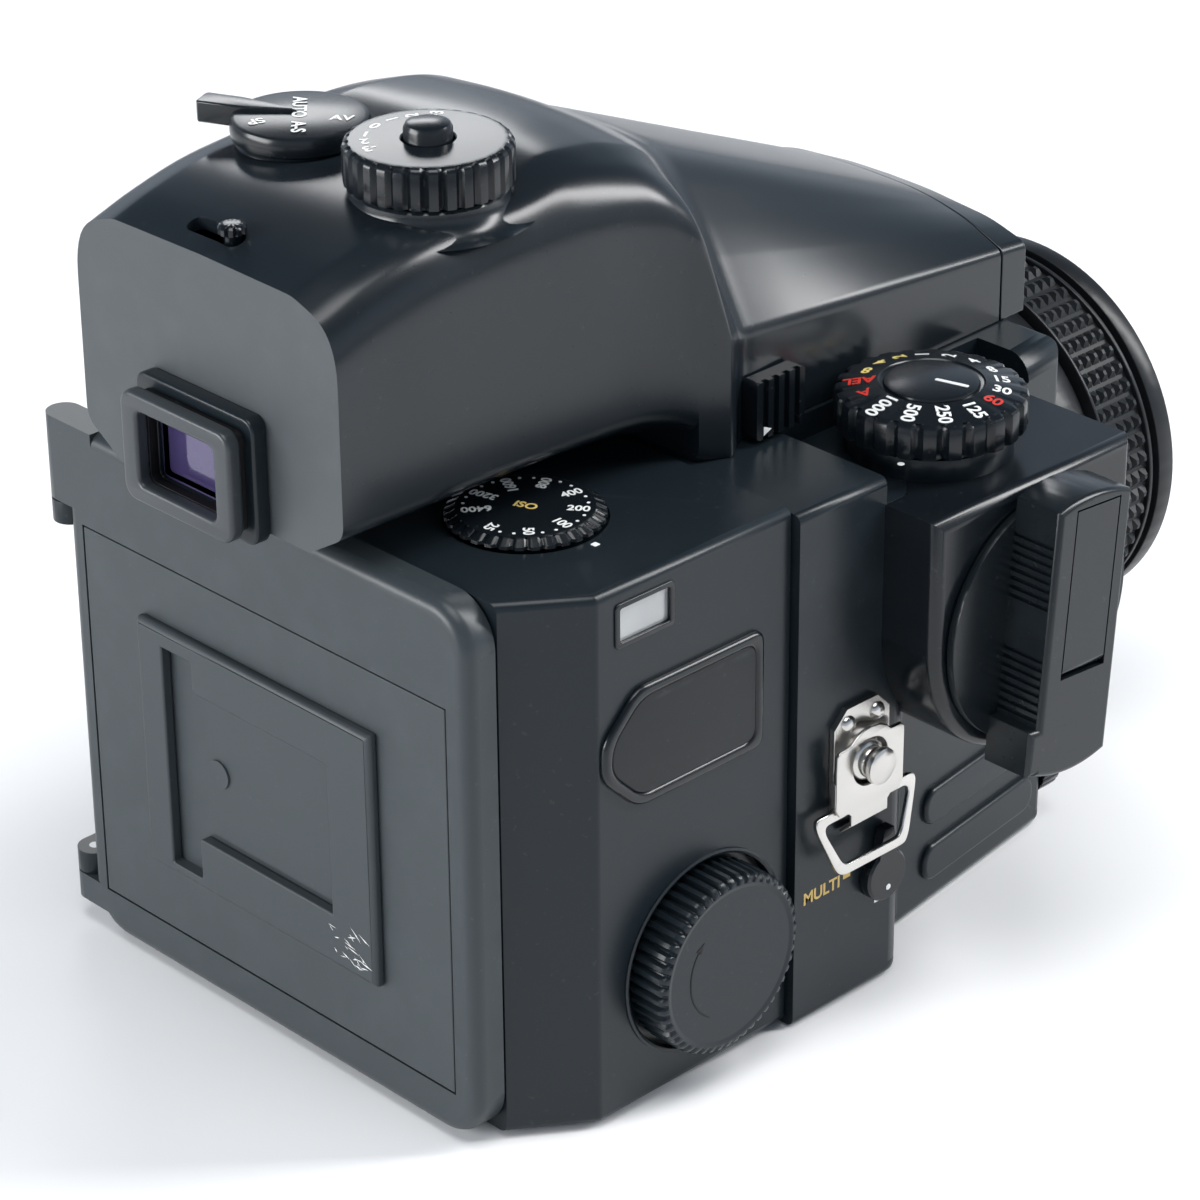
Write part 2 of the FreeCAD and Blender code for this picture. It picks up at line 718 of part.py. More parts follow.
def cavity_plan():
    """The body's outline moved in by one wall."""
    return [(wall - body_reach, body_rear - wall), (wall - body_reach, grip_start + wall / 2),
            (wall - grip_root_reach, grip_root_rear + wall / 2), (wall - front_half_width, wall - body_front),
            (front_half_width - wall, wall - body_front),
            (case_half_width - wall, front_left_chamfer - body_front + wall / 2),
            (case_half_width - wall, body_rear - wall)]


screw_spots = [(screw_inset - body_reach, body_rear - screw_inset),
               (case_half_width - screw_inset, body_rear - screw_inset),
               (-throat_radius, screw_inset - body_front), (throat_radius, screw_inset - body_front)]


# Camera body: shell, base plate, screws and tripod socket
def along_slant(item):
    """Turns the item about Z into line with the slanted side."""
    item.Placement.Rotation = FreeCAD.Rotation(UP, 1)
    item.setExpression("Placement.Rotation.Angle",
                       "atan((%s) / (%s))" % ((grip_root_reach - front_half_width).text,
                                              (grip_root_rear + body_front).text))


def make_finger_pads():
    """Two long raised pads on the slanted side, one above the other."""
    pads = []
    for row in range(2):
        pad = new_body("finger_pad_%d" % row, -grip_root_reach, grip_root_rear,
                       finger_pad_low + finger_pad_pitch * row)
        slab(pad, "YZ", -finger_pad_proud, wall / 2,
             lambda sketch: rectangle(sketch, -finger_pad_length - finger_pad_inset,
                                      -finger_pad_inset, 0, finger_pad_height))
        round_edges(pad, "ends", finger_pad_height * pad_end_share, lambda edge: is_along(edge, "x"))
        round_edges(pad, "rim", finger_pad_proud * pad_rim_share,
                    lambda edge: spans(edge, "x", -finger_pad_proud))
        along_slant(pad)
        pads.append(pad)
    return pads


def make_shoulder_corner():
    """The corner that is taken off the deck over the slanted side, beside the dial."""
    corner = new_body("shoulder_corner", -grip_root_reach, grip_root_rear, deck_height)
    far = -(grip_root_rear + body_front) * overshoot
    slab(corner, "XZ", far, 0,
         lambda sketch: rectangle(sketch, -shoulder_round, shoulder_round, -shoulder_round, shoulder_round))
    slab(corner, "XZ", far, 0,
         lambda sketch: circle(sketch, shoulder_round, -shoulder_round, shoulder_round), True)
    along_slant(corner)
    return corner


def make_body_shell():
    body = new_body("body_case")
    slab(body, "XY", base_thickness, deck_height, lambda sketch: outline(sketch, body_plan()))
    round_edges(body, "front_corners", front_corner_round,
                lambda edge: is_along(edge, "z") and near(edge.Vertexes[0].Y, -body_front))
    round_edges(body, "side_corners", side_corner_round,
                lambda edge: is_along(edge, "z") and (near(edge.Vertexes[0].Y, grip_start)
                                                      or near(edge.Vertexes[0].Y, grip_root_rear)))
    round_edges(body, "deck_rim", deck_edge_round,
                lambda edge: spans(edge, "z", deck_height) and not spans(edge, "y", body_rear))
    slab(body, "XY", well_height, deck_height,
         lambda sketch: rectangle(sketch, -body_reach * overshoot, -well_inner_reach,
                                  well_front_land - body_front, well_rear), True)
    slab(body, "XY", base_thickness, well_height - wall,
         lambda sketch: outline(sketch, cavity_plan()), True)
    for x, y in screw_spots:
        slab(body, "XY", base_thickness, screw_length,
             lambda sketch: circle(sketch, x, y, screw_boss_radius))
        slab(body, "XY", base_thickness, screw_length,
             lambda sketch: circle(sketch, x, y, screw_shank_radius), True)
    slab(body, "XY", well_height - wall, screen_ledge,
         lambda sketch: rectangle(sketch, screen_lip - screen_window_width / 2,
                                  screen_window_width / 2 - screen_lip,
                                  screen_lip - screen_window_front, screen_window_rear - screen_lip), True)
    slab(body, "XY", screen_ledge, deck_height,
         lambda sketch: rectangle(sketch, -screen_window_width / 2, screen_window_width / 2,
                                  -screen_window_front, screen_window_rear), True)
    slab(body, "XZ", -body_front, mount_ring_thickness - body_front,
         lambda sketch: circle(sketch, 0, lens_axis_height, mount_ring_radius), True)
    slab(body, "XZ", mount_ring_thickness - body_front, wall - body_front,
         lambda sketch: circle(sketch, 0, lens_axis_height, throat_radius), True)
    slab(body, "XZ", body_rear - wall, body_rear,
         lambda sketch: centred_rectangle(sketch, 0, lens_axis_height, gate_width, gate_height), True)
    slab(body, "XZ", wall - body_front, wall * 2 - body_front,
         lambda sketch: circle(sketch, -release_x, release_z,
                               release_button_radius + flange_overhang + touch_gap), True)
    slab(body, "XZ", -body_front - collar_length, wall - body_front,
         lambda sketch: circle(sketch, -release_x, release_z, release_boss_radius()))
    slab(body, "XZ", -body_front - collar_length, wall - body_front,
         lambda sketch: circle(sketch, -release_x, release_z, release_button_radius + touch_gap), True)
    slab(body, "XZ", -body_front, wall - body_front,
         lambda sketch: circle(sketch, lens_release_x, lens_release_z,
                               lens_release_radius + running_gap), True)
    slab(body, "YZ", -body_reach, wall - body_reach,
         lambda sketch: circle(sketch, multi_lever_y, multi_lever_z, multi_stem_radius + running_gap), True)
    slab(body, "XY", well_height - wall, well_height,
         lambda sketch: circle(sketch, -dial_x, -dial_y, dial_post_radius + running_gap), True)
    collar = new_body("dial_collar", -dial_x, -dial_y)
    slab(collar, "XY", well_height, well_height + dial_collar_height,
         lambda sketch: circle(sketch, 0, 0, dial_collar_radius))
    slab(collar, "XY", well_height, well_height + dial_collar_height,
         lambda sketch: circle(sketch, 0, 0, dial_post_radius + running_gap), True)
    case = fuse("body_case_with_pads", body, collar, *make_finger_pads())
    return keep(cut("body_shell", case, make_shoulder_corner()), "body_shell")


def make_base_plate():
    body = new_body("base_plate")
    slab(body, "XY", 0, base_thickness, lambda sketch: outline(sketch, body_plan()))
    round_edges(body, "front_corners", front_corner_round,
                lambda edge: is_along(edge, "z") and near(edge.Vertexes[0].Y, -body_front))
    round_edges(body, "side_corners", side_corner_round,
                lambda edge: is_along(edge, "z") and (near(edge.Vertexes[0].Y, grip_start)
                                                      or near(edge.Vertexes[0].Y, grip_root_rear)))
    round_edges(body, "lower_rim", base_thickness * base_rim_share,
                lambda edge: spans(edge, "z", 0) and not spans(edge, "y", body_rear))
    slab(body, "XY", 0, base_thickness, lambda sketch: circle(sketch, 0, 0, bush_radius), True)
    for x, y in screw_spots:
        slab(body, "XY", 0, base_thickness, lambda sketch: circle(sketch, x, y, screw_shank_radius), True)
        slab(body, "XY", 0, screw_head_depth,
             lambda sketch: circle(sketch, x, y, screw_head_radius + running_gap), True)
    return keep(body, "base_plate")


def make_base_screws():
    screws = []
    for index, (x, y) in enumerate(screw_spots):
        screw = new_body("base_screw_%d" % index, x, y)
        turn(screw, [(0, screw_head_sunk), (screw_head_radius, screw_head_sunk),
                     (screw_head_radius, screw_head_depth), (screw_shank_radius, screw_head_depth),
                     (screw_shank_radius, screw_length), (0, screw_length)], "XZ", "V_Axis")
        screws.append(screw)
    return group("base_screws", *screws)


def make_tripod_bush():
    body = new_body("tripod_bush")
    flange_top = base_thickness + bush_flange_thickness
    turn(body, [(0, socket_depth), (socket_radius, socket_depth), (socket_radius, 0), (bush_radius, 0),
                (bush_radius, base_thickness), (bush_flange_radius, base_thickness),
                (bush_flange_radius, flange_top), (bush_radius, flange_top),
                (bush_radius, socket_depth + bush_flange_thickness),
                (0, socket_depth + bush_flange_thickness)], "XZ", "V_Axis")
    return keep(body, "tripod_bush")


# Front of the body: mount ring, lens release, shutter release and its lock collar
def make_lens_mount_ring():
    body = new_body("lens_mount_ring", 0, 0, lens_axis_height)
    turn(body, [(-body_front, mount_ring_bore), (-body_front, mount_ring_radius),
                (mount_ring_thickness - body_front, mount_ring_radius),
                (mount_ring_thickness - body_front, mount_ring_bore)])
    return keep(body, "lens_mount_ring")


def plunger(node, x, z, radius, proud, tail, flange_radius):
    """Round button in a bore along Y, kept in by a flange behind the wall."""
    body = new_body(node, x, 0, z)
    front = -(body_front + proud)
    turn(body, [(front, 0), (front, radius - button_edge), (front + button_edge, radius), (tail, radius),
                (tail, flange_radius), (tail + flange_thickness, flange_radius),
                (tail + flange_thickness, 0)])
    return keep(body, node)


def release_boss_radius():
    """Outside of the tubular boss that the release button slides in and the collar turns on."""
    return release_button_radius + touch_gap + release_boss_wall


def make_release_collar():
    body = new_body("release_collar", -release_x, 0, release_z)
    bore = release_boss_radius() + running_gap
    back = -(body_front + touch_gap)
    front = back - collar_length
    turn(body, [(front, bore), (front, collar_radius - button_edge), (front + button_edge, collar_radius),
                (back, collar_radius), (back, bore)])
    flute = slab(body, "XZ", front, back,
                 lambda sketch: circle(sketch, collar_radius + collar_flute_radius / 2, 0,
                                       collar_flute_radius), True)
    polar(body, flute, "Y_Axis", collar_teeth)
    return keep(body, "release_collar")


# Focusing system and shutter inside the body
def make_mirror_box():
    inner = mirror_box_half_width - mirror_box_wall
    front = mirror_box_front - body_front
    back = body_rear - wall - shutter_room
    top = well_height - wall - touch_gap
    outside = box("mirror_box_outside", (-mirror_box_half_width, mirror_box_half_width), (front, back),
                  (mirror_box_floor, top))
    inside = box("mirror_box_inside", (-inner, inner), (front * overshoot, back * overshoot),
                 (mirror_box_floor + mirror_box_wall, top * overshoot))
    pins = rod("mirror_pin_holes", "x", mirror_pin_radius + running_gap, -mirror_box_half_width * overshoot,
               mirror_box_half_width * overshoot, (mirror_hinge_y, mirror_hinge_z))
    return keep(cut("mirror_box", outside, inside, pins), "mirror_box")


def tilted(body, angle):
    """Turns a finished body about X by a sheet angle in degrees."""
    body.Placement.Rotation = FreeCAD.Rotation(AXES["x"], 1)
    body.setExpression("Placement.Rotation.Angle", angle.text)


def make_mirror_holder():
    body = new_body("mirror_holder", 0, mirror_hinge_y, mirror_hinge_z)
    half = mirror_width / 2
    slab(body, "YZ", -half, half,
         lambda sketch: rectangle(sketch, -mirror_length, 0, -mirror_holder_thickness, 0))
    slab(body, "YZ", -half, half, lambda sketch: circle(sketch, 0, 0, mirror_barrel_radius))
    pin_reach = mirror_box_half_width - running_gap
    slab(body, "YZ", -pin_reach, pin_reach, lambda sketch: circle(sketch, 0, 0, mirror_pin_radius))
    tilted(body, mirror_rest_angle)
    return keep(body, "mirror_holder")


def make_mirror():
    body = new_body("mirror", 0, mirror_hinge_y, mirror_hinge_z)
    half = mirror_width / 2
    slab(body, "YZ", -half, half,
         lambda sketch: rectangle(sketch, -mirror_length, -mirror_barrel_radius - touch_gap,
                                  0, mirror_thickness))
    tilted(body, mirror_rest_angle)
    return keep(body, "mirror")


def make_screen_and_shutter():
    half = screen_window_width / 2 - touch_gap
    screen = box("focusing_screen", (-half, half),
                 (touch_gap - screen_window_front, screen_window_rear - touch_gap),
                 (screen_ledge, screen_ledge + screen_thickness))
    keep(screen, "focusing_screen")
    frame_back = body_rear - wall - shutter_curtain_thickness - touch_gap
    frame = new_body("shutter_frame")
    slab(frame, "XZ", frame_back - shutter_frame_thickness, frame_back,
         lambda sketch: rectangle(sketch, -mirror_box_half_width, mirror_box_half_width,
                                  mirror_box_floor, well_height - wall - touch_gap))
    slab(frame, "XZ", frame_back - shutter_frame_thickness, frame_back,
         lambda sketch: centred_rectangle(sketch, 0, lens_axis_height, gate_width, gate_height), True)
    keep(frame, "shutter_frame")
    curtain = new_body("shutter_curtain")
    slab(curtain, "XZ", frame_back, frame_back + shutter_curtain_thickness,
         lambda sketch: centred_rectangle(sketch, 0, lens_axis_height, gate_width + wall, gate_height + wall))
    keep(curtain, "shutter_curtain")


# Shutter dial and finder release
def fluted_dial(node, x, y, bottom, top, radius, post_radius, post_end, flutes, flute_radius, edge):
    """Round dial about Z with a post below it and flutes round its edge."""
    body = new_body(node, x, y)
    turn(body, [(0, post_end), (post_radius, post_end), (post_radius, bottom), (radius, bottom),
                (radius, top - edge), (radius - edge, top), (0, top)], "XZ", "V_Axis")
    if flutes:
        flute = slab(body, "XY", bottom, top,
                     lambda sketch: circle(sketch, radius + flute_radius / 2, 0, flute_radius), True)
        polar(body, flute, "Z_Axis", flutes)
    return body


def make_shutter_dial():
    bottom = well_height + dial_collar_height + touch_gap
    top = bottom + dial_height
    body = fluted_dial("shutter_dial", -dial_x, -dial_y, bottom, top, dial_radius, dial_post_radius,
                       well_height - wall, dial_flutes, dial_flute_radius, button_edge)
    slab(body, "XY", top - dial_cap_thickness, top, lambda sketch: circle(sketch, 0, 0, dial_cap_radius), True)
    keep(body, "shutter_dial")
    cap = new_body("dial_cap", -dial_x, -dial_y)
    slab(cap, "XY", top - dial_cap_thickness, top,
         lambda sketch: circle(sketch, 0, 0, dial_cap_radius - running_gap))
    keep(cap, "dial_cap")


def make_finder_release():
    body = new_body("finder_release", -(hood_mid_half_width + touch_gap),
                    hood_mid_y - finder_release_length, deck_height + finder_release_lift)
    slab(body, "YZ", -finder_release_thickness, 0,
         lambda sketch: rectangle(sketch, 0, finder_release_length, 0, finder_release_height))
    round_edges(body, "corners", button_edge * 2, lambda edge: is_along(edge, "x"))
    for index in range(4):
        slab(body, "YZ", -finder_release_thickness, -finder_release_thickness * catch_rib_share,
             lambda sketch: rectangle(sketch, finder_release_pitch * (index + 0.5),
                                      finder_release_pitch * (index + 1), 0, finder_release_height), True)
    return keep(body, "finder_release")


# Winding crank: housing, disc, arm and folding handle
def make_crank_housing():
    body = new_body("crank_housing_block")
    slab(body, "YZ", -crank_housing_reach, -front_half_width,
         lambda sketch: circle(sketch, -crank_y, crank_z, crank_housing_radius))
    slab(body, "YZ", -crank_housing_reach, -front_half_width,
         lambda sketch: rectangle(sketch, -(crank_y + crank_housing_radius), crank_housing_radius - crank_y,
                                  crank_z, well_height))
    round_edges(body, "rim", crank_housing_round, lambda edge: spans(edge, "x", -crank_housing_reach))
    slab(body, "YZ", -crank_housing_reach, crank_hub_length + touch_gap - crank_housing_reach,
         lambda sketch: circle(sketch, -crank_y, crank_z, crank_hub_radius + running_gap), True)
    block = new_body("body_block")
    slab(block, "XY", base_thickness, deck_height, lambda sketch: outline(sketch, body_plan()))
    post = rod("dial_post_hole", "z", dial_post_radius + running_gap, well_height - wall * 2,
               well_height * overshoot, (-dial_x, -dial_y))
    return keep(cut("crank_housing", body, block, post), "crank_housing")


def make_crank_disc():
    body = new_body("crank_disc", 0, -crank_y, crank_z)
    inner = -(crank_housing_reach + touch_gap)
    turn(body, [(-disc_face, 0), (-disc_face, crank_disc_radius), (inner, crank_disc_radius),
                (inner, crank_hub_radius), (crank_hub_length - crank_housing_reach, crank_hub_radius),
                (crank_hub_length - crank_housing_reach, 0)], "XZ", "H_Axis")
    return keep(body, "crank_disc")


flap_low = crank_flap_top - crank_flap_length
flap_pivot_z = flap_low + crank_flap_thickness / 2
flap_pivot_x = -(crank_arm_reach - crank_flap_thickness / 2)


def make_crank_arm():
    body = new_body("crank_arm", 0, -crank_y, crank_z)
    half = crank_arm_width / 2
    beyond = crank_arm_radius * overshoot
    slab(body, "YZ", -crank_arm_reach, -disc_face, lambda sketch: circle(sketch, 0, 0, crank_arm_radius))
    for low, high in ((half, beyond), (-beyond, -half)):
        slab(body, "YZ", -crank_arm_reach, -disc_face,
             lambda sketch: rectangle(sketch, low, high, -beyond, beyond), True)
    slab(body, "YZ", -crank_arm_reach, -disc_face,
         lambda sketch: rectangle(sketch, half - crank_rib_depth, half + crank_toe_proud,
                                  -crank_arm_radius * crank_block_outer_share,
                                  -crank_arm_radius * crank_block_inner_share))
    round_edges(body, "face", crank_arm_round, lambda edge: spans(edge, "x", -crank_arm_reach))
    left = -crank_flap_width / 2 - crank_flap_offset - touch_gap
    right = crank_flap_width / 2 - crank_flap_offset + touch_gap
    slab(body, "YZ", -crank_arm_reach, crank_flap_thickness + touch_gap - crank_arm_reach,
         lambda sketch: rectangle(sketch, left, right, flap_low - touch_gap, crank_flap_top + touch_gap), True)
    pin_reach = crank_flap_width / 2 + crank_flap_pin_length
    slab(body, "XZ", -pin_reach - crank_flap_offset - touch_gap, pin_reach - crank_flap_offset + touch_gap,
         lambda sketch: circle(sketch, flap_pivot_x, flap_pivot_z, crank_flap_pin_radius + running_gap), True)
    for start in (crank_arm_radius * crank_rib_upper_share, -crank_arm_radius * crank_rib_lower_share):
        for index in range(int(crank_rib_count.value)):
            low = start + crank_rib_pitch * index
            slab(body, "YZ", crank_arm_round - crank_arm_reach, -disc_face,
                 lambda sketch: rectangle(sketch, half - crank_rib_depth, half * overshoot, low,
                                          low + crank_rib_pitch / 2), True)
    tilted(body, crank_arm_tilt)
    return keep(body, "crank_arm")


def make_crank_handle():
    tilt_cos = Dim("cos(%s)" % crank_arm_tilt.text, math.cos(math.radians(crank_arm_tilt.value)))
    tilt_sin = Dim("sin(%s)" % crank_arm_tilt.text, math.sin(math.radians(crank_arm_tilt.value)))
    body = new_body("crank_handle", flap_pivot_x,
                    -crank_y - crank_flap_offset * tilt_cos - flap_pivot_z * tilt_sin,
                    crank_z - crank_flap_offset * tilt_sin + flap_pivot_z * tilt_cos)
    half = crank_flap_thickness / 2
    width = crank_flap_width / 2
    slab(body, "XZ", -width, width, lambda sketch: circle(sketch, 0, 0, half))
    slab(body, "XZ", -width, width,
         lambda sketch: rectangle(sketch, -half, half, 0, crank_flap_length - half))
    pin_reach = width + crank_flap_pin_length
    slab(body, "XZ", -pin_reach, pin_reach, lambda sketch: circle(sketch, 0, 0, crank_flap_pin_radius))
    tilted(body, crank_arm_tilt)
    return keep(body, "crank_handle")


# Side fittings: strap lugs, their rings and the multiple exposure lever
def make_lugs():
    plates = []
    studs = []
    for side, face in (("right", -body_reach), ("left", case_half_width)):
        out = -1 if side == "right" else 1
        plate = new_body("lug_plate_" + side, 0, lug_y, lug_z)
        half = lug_plate_width / 2
        top = lug_plate_height * lug_top_share
        clip = lug_plate_width * lug_clip_share
        spread = sorted((face, face + out * lug_plate_thickness), key=number)
        slab(plate, "YZ", spread[0], spread[1],
             lambda sketch: outline(sketch, [(-half, top - lug_plate_height), (half, top - lug_plate_height),
                                             (half, top - clip), (half - clip, top), (clip - half, top),
                                             (-half, top - clip)]))
        plates.append(plate)
        stud = new_body("lug_stud_" + side, 0, lug_y, lug_z)
        base = face + out * lug_plate_thickness
        step = base + out * lug_stud_step_length
        neck = step + out * (strap_tab_thickness + touch_gap * 2)
        cap = neck + out * lug_cap_thickness
        turn(stud, [(base, 0), (base, lug_stud_step_radius), (step, lug_stud_step_radius),
                    (step, lug_stud_radius), (neck, lug_stud_radius), (neck, lug_cap_radius),
                    (cap, lug_cap_radius), (cap, 0)], "XZ", "H_Axis")
        studs.append(stud)
    group("lug_plates", *plates)
    group("lug_studs", *studs)


def rounded_loop(width, height, corner, wire_radius):
    """Closed wire loop in the YZ plane, hung from the middle of its top side at the origin."""
    half_w = width / 2 - corner
    high = -corner
    low = corner - height
    edges = []
    corners = [(half_w, high, 0), (-half_w, high, 90), (-half_w, low, 180), (half_w, low, 270)]
    for index, (y, z, start) in enumerate(corners):
        arc = Part.Arc(*[FreeCAD.Vector(0, y + corner * math.cos(math.radians(start + turn_by)),
                                        z + corner * math.sin(math.radians(start + turn_by)))
                         for turn_by in (0, 45, 90)]).toShape()
        next_y, next_z, next_start = corners[(index + 1) % 4]
        here = FreeCAD.Vector(0, y + corner * math.cos(math.radians(start + 90)),
                              z + corner * math.sin(math.radians(start + 90)))
        there = FreeCAD.Vector(0, next_y + corner * math.cos(math.radians(next_start)),
                               next_z + corner * math.sin(math.radians(next_start)))
        edges += [arc, Part.LineSegment(here, there).toShape()]
    path = Part.Wire(edges)
    start = FreeCAD.Vector(0, width / 2, high)
    profile = Part.Wire(Part.Circle(start, UP, wire_radius).toShape())
    return path.makePipeShell([profile], True, True)


def make_strap_ring(side):
    face, out = (-body_reach, -1) if side == "right" else (case_half_width, 1)
    node = "strap_ring_" + side
    middle = face + out * (lug_plate_thickness + lug_stud_step_length + touch_gap + strap_tab_thickness / 2)
    half = strap_tab_thickness / 2
    tab = new_body(node + "_tab", middle, lug_y, lug_z)
    slab(tab, "YZ", -half, half,
         lambda sketch: rectangle(sketch, -strap_tab_width / 2, strap_tab_width / 2,
                                  -strap_tab_drop, lug_stud_step_radius))
    round_edges(tab, "corners", strap_tab_width * strap_tab_round_share, lambda edge: is_along(edge, "x"))
    slab(tab, "YZ", -half, half, lambda sketch: circle(sketch, 0, 0, lug_stud_radius + running_gap), True)
    slab(tab, "YZ", -half, half,
         lambda sketch: centred_rectangle(sketch, 0, -strap_tab_drop * strap_slot_drop_share,
                                          strap_tab_width * strap_slot_width_share,
                                          strap_wire_radius * 2), True)
    loop = doc.addObject("Part::Feature", node + "_loop")
    loop.Shape = rounded_loop(strap_ring_width.value, strap_ring_height.value,
                              strap_ring_height.value * strap_loop_round_share, strap_wire_radius.value)
    place(loop, middle, lug_y, lug_z - strap_tab_drop + strap_wire_radius * strap_seat_share)
    if side == "right":
        loop.Placement.Rotation = FreeCAD.Rotation(AXES["y"], 1)
        loop.setExpression("Placement.Rotation.Angle", strap_ring_tilt.text)
    keep(fuse(node, tab, loop), node)


def make_multi_lever():
    body = new_body("multi_lever", 0, multi_lever_y, multi_lever_z)
    inner = -(body_reach + touch_gap)
    outer = inner - multi_lever_thickness
    turn(body, [(outer, 0), (outer, multi_lever_radius - button_edge),
                (outer + button_edge, multi_lever_radius), (inner, multi_lever_radius),
                (inner, multi_stem_radius), (wall - body_reach, multi_stem_radius),
                (wall - body_reach, 0)], "XZ", "H_Axis")
    slab(body, "YZ", outer, outer + multi_lever_thickness,
         lambda sketch: outline(sketch, [(-multi_lever_radius * multi_root_share, 0),
                                         (multi_lever_radius * multi_root_share, 0),
                                         (multi_lever_radius * multi_tip_share, multi_lever_length),
                                         (-multi_lever_radius * multi_tip_share, multi_lever_length)]))
    return keep(body, "multi_lever")


# Film magazine: shell, film insert, spools, dials and dark slide
def make_magazine_shell():
    body = new_body("magazine_shell")
    slab(body, "XY", magazine_low, magazine_height,
         lambda sketch: outline(sketch, [(-magazine_reach, magazine_front),
                                         (-magazine_reach, magazine_slant_start),
                                         (-case_half_width, magazine_rear), (case_half_width, magazine_rear),
                                         (case_half_width, magazine_front)]))
    round_edges(body, "slant", deck_edge_round,
                lambda edge: is_along(edge, "z") and near(edge.Vertexes[0].Y, magazine_slant_start))
    round_edges(body, "rims", deck_edge_round,
                lambda edge: (spans(edge, "z", magazine_height) or spans(edge, "z", magazine_low))
                and not spans(edge, "y", magazine_front) and not spans(edge, "y", magazine_rear))
    inner = case_half_width - magazine_wall
    slab(body, "XZ", magazine_front + magazine_wall, magazine_rear,
         lambda sketch: rectangle(sketch, -inner, inner, magazine_low + magazine_wall,
                                  magazine_height - magazine_wall), True)
    slab(body, "XZ", magazine_front, magazine_front + magazine_wall,
         lambda sketch: centred_rectangle(sketch, 0, lens_axis_height, film_gate_width, film_gate_height),
         True)
    slot_y = magazine_front + magazine_wall / 2
    slot_half = slide_thickness / 2 + touch_gap * slot_gap_share
    slab(body, "YZ", -slide_width / 2 - touch_gap, case_half_width,
         lambda sketch: centred_rectangle(sketch, slot_y, lens_axis_height, slot_half * 2,
                                          slide_height + touch_gap * 2), True)
    well_floor = touch_gap + wind_knob_thickness - wind_knob_reach
    slab(body, "YZ", -magazine_reach, well_floor,
         lambda sketch: circle(sketch, wind_knob_y, wind_knob_z, wind_knob_radius + wind_knob_gap), True)
    slab(body, "YZ", well_floor, -inner,
         lambda sketch: circle(sketch, wind_knob_y, wind_knob_z, wind_shaft_radius + running_gap), True)
    slab(body, "YZ", -magazine_reach, window_recess - magazine_reach,
         lambda sketch: centred_rectangle(sketch, window_y, window_z, window_width, window_height), True)
    slab(body, "YZ", -magazine_reach, pad_recess_depth - magazine_reach,
         lambda sketch: outline(sketch, [(pad_front, pad_low + pad_chamfer), (pad_front + pad_chamfer, pad_low),
                                         (pad_rear - pad_bevel, pad_low), (pad_rear, pad_low + pad_bevel),
                                         (pad_rear, pad_high - pad_bevel), (pad_rear - pad_bevel, pad_high),
                                         (pad_front + pad_chamfer, pad_high),
                                         (pad_front, pad_high - pad_chamfer)]), True)
    slab(body, "XY", magazine_height - iso_sunk, magazine_height,
         lambda sketch: circle(sketch, -iso_x, iso_y, iso_radius + touch_gap), True)
    slab(body, "XY", magazine_height - magazine_wall, magazine_height,
         lambda sketch: circle(sketch, -iso_x, iso_y, iso_stem_radius + running_gap), True)
    hinge_y = door_front + knuckle_radius
    for low in (hinge_knuckle_high + knuckle_gap, hinge_band_low - knuckle_gap - lug_height):
        slab(body, "XY", low, low + lug_height,
             lambda sketch: rectangle(sketch, hinge_x - knuckle_radius + touch_gap, hinge_x + knuckle_radius,
                                      magazine_rear - knuckle_radius, hinge_y))
        slab(body, "XY", low, low + lug_height,
             lambda sketch: circle(sketch, hinge_x, hinge_y, knuckle_radius))
        slab(body, "XY", low, low + lug_height,
             lambda sketch: circle(sketch, hinge_x, hinge_y, hinge_pin_radius), True)
    return keep(body, "magazine_shell")


insert_front = magazine_front + magazine_wall + insert_clearance + pressure_plate_thickness
roller_y = magazine_front + magazine_wall + roller_radius + insert_clearance


def make_film_insert():
    half = insert_half_width
    outside = box("insert_outside", (-half, half), (insert_front, insert_rear),
                  (insert_low, insert_high))
    inner = half - insert_wall
    inside = box("insert_inside", (-inner, inner), (insert_front + insert_wall, insert_rear * overshoot),
                 (0, magazine_height))
    window_low = box("insert_window_low", (-inner, inner), (insert_front / 2, insert_rear),
                     (0, lens_axis_height - pressure_plate_height / 2))
    window_high = box("insert_window_high", (-inner, inner), (insert_front / 2, insert_rear),
                      (lens_axis_height + pressure_plate_height / 2, magazine_height))
    shaft = rod("insert_shaft_hole", "x", wind_shaft_radius + touch_gap, -half * overshoot,
                -inner * insert_bore_share, (wind_knob_y, wind_knob_z))
    frame = cut("insert_frame", outside, inside, window_low, window_high, shaft)
    pin_inner = spool_length / 2 - spool_bore_depth + touch_gap
    pins = [rod("spool_pin_%d" % index, "x", spool_pin_radius, low, high, (y, z))
            for index, (low, high, y, z) in enumerate([
                (pin_inner, inner, wind_knob_y, wind_knob_z), (pin_inner, inner, spool_y, supply_spool_z),
                (-inner, -pin_inner, spool_y, supply_spool_z)])]
    return keep(fuse("film_insert", frame, *pins), "film_insert")


def make_spool(node, y, z):
    body = new_body(node, 0, y, z)
    half = spool_length / 2
    bore = spool_pin_radius + running_gap
    core = half - spool_flange_thickness
    floor = half - spool_bore_depth
    turn(body, [(-half, bore), (-half, spool_flange_radius), (-core, spool_flange_radius),
                (-core, spool_core_radius), (core, spool_core_radius), (core, spool_flange_radius),
                (half, spool_flange_radius), (half, bore), (floor, bore), (floor, 0), (-floor, 0),
                (-floor, bore)], "XZ", "H_Axis")
    return keep(body, node)


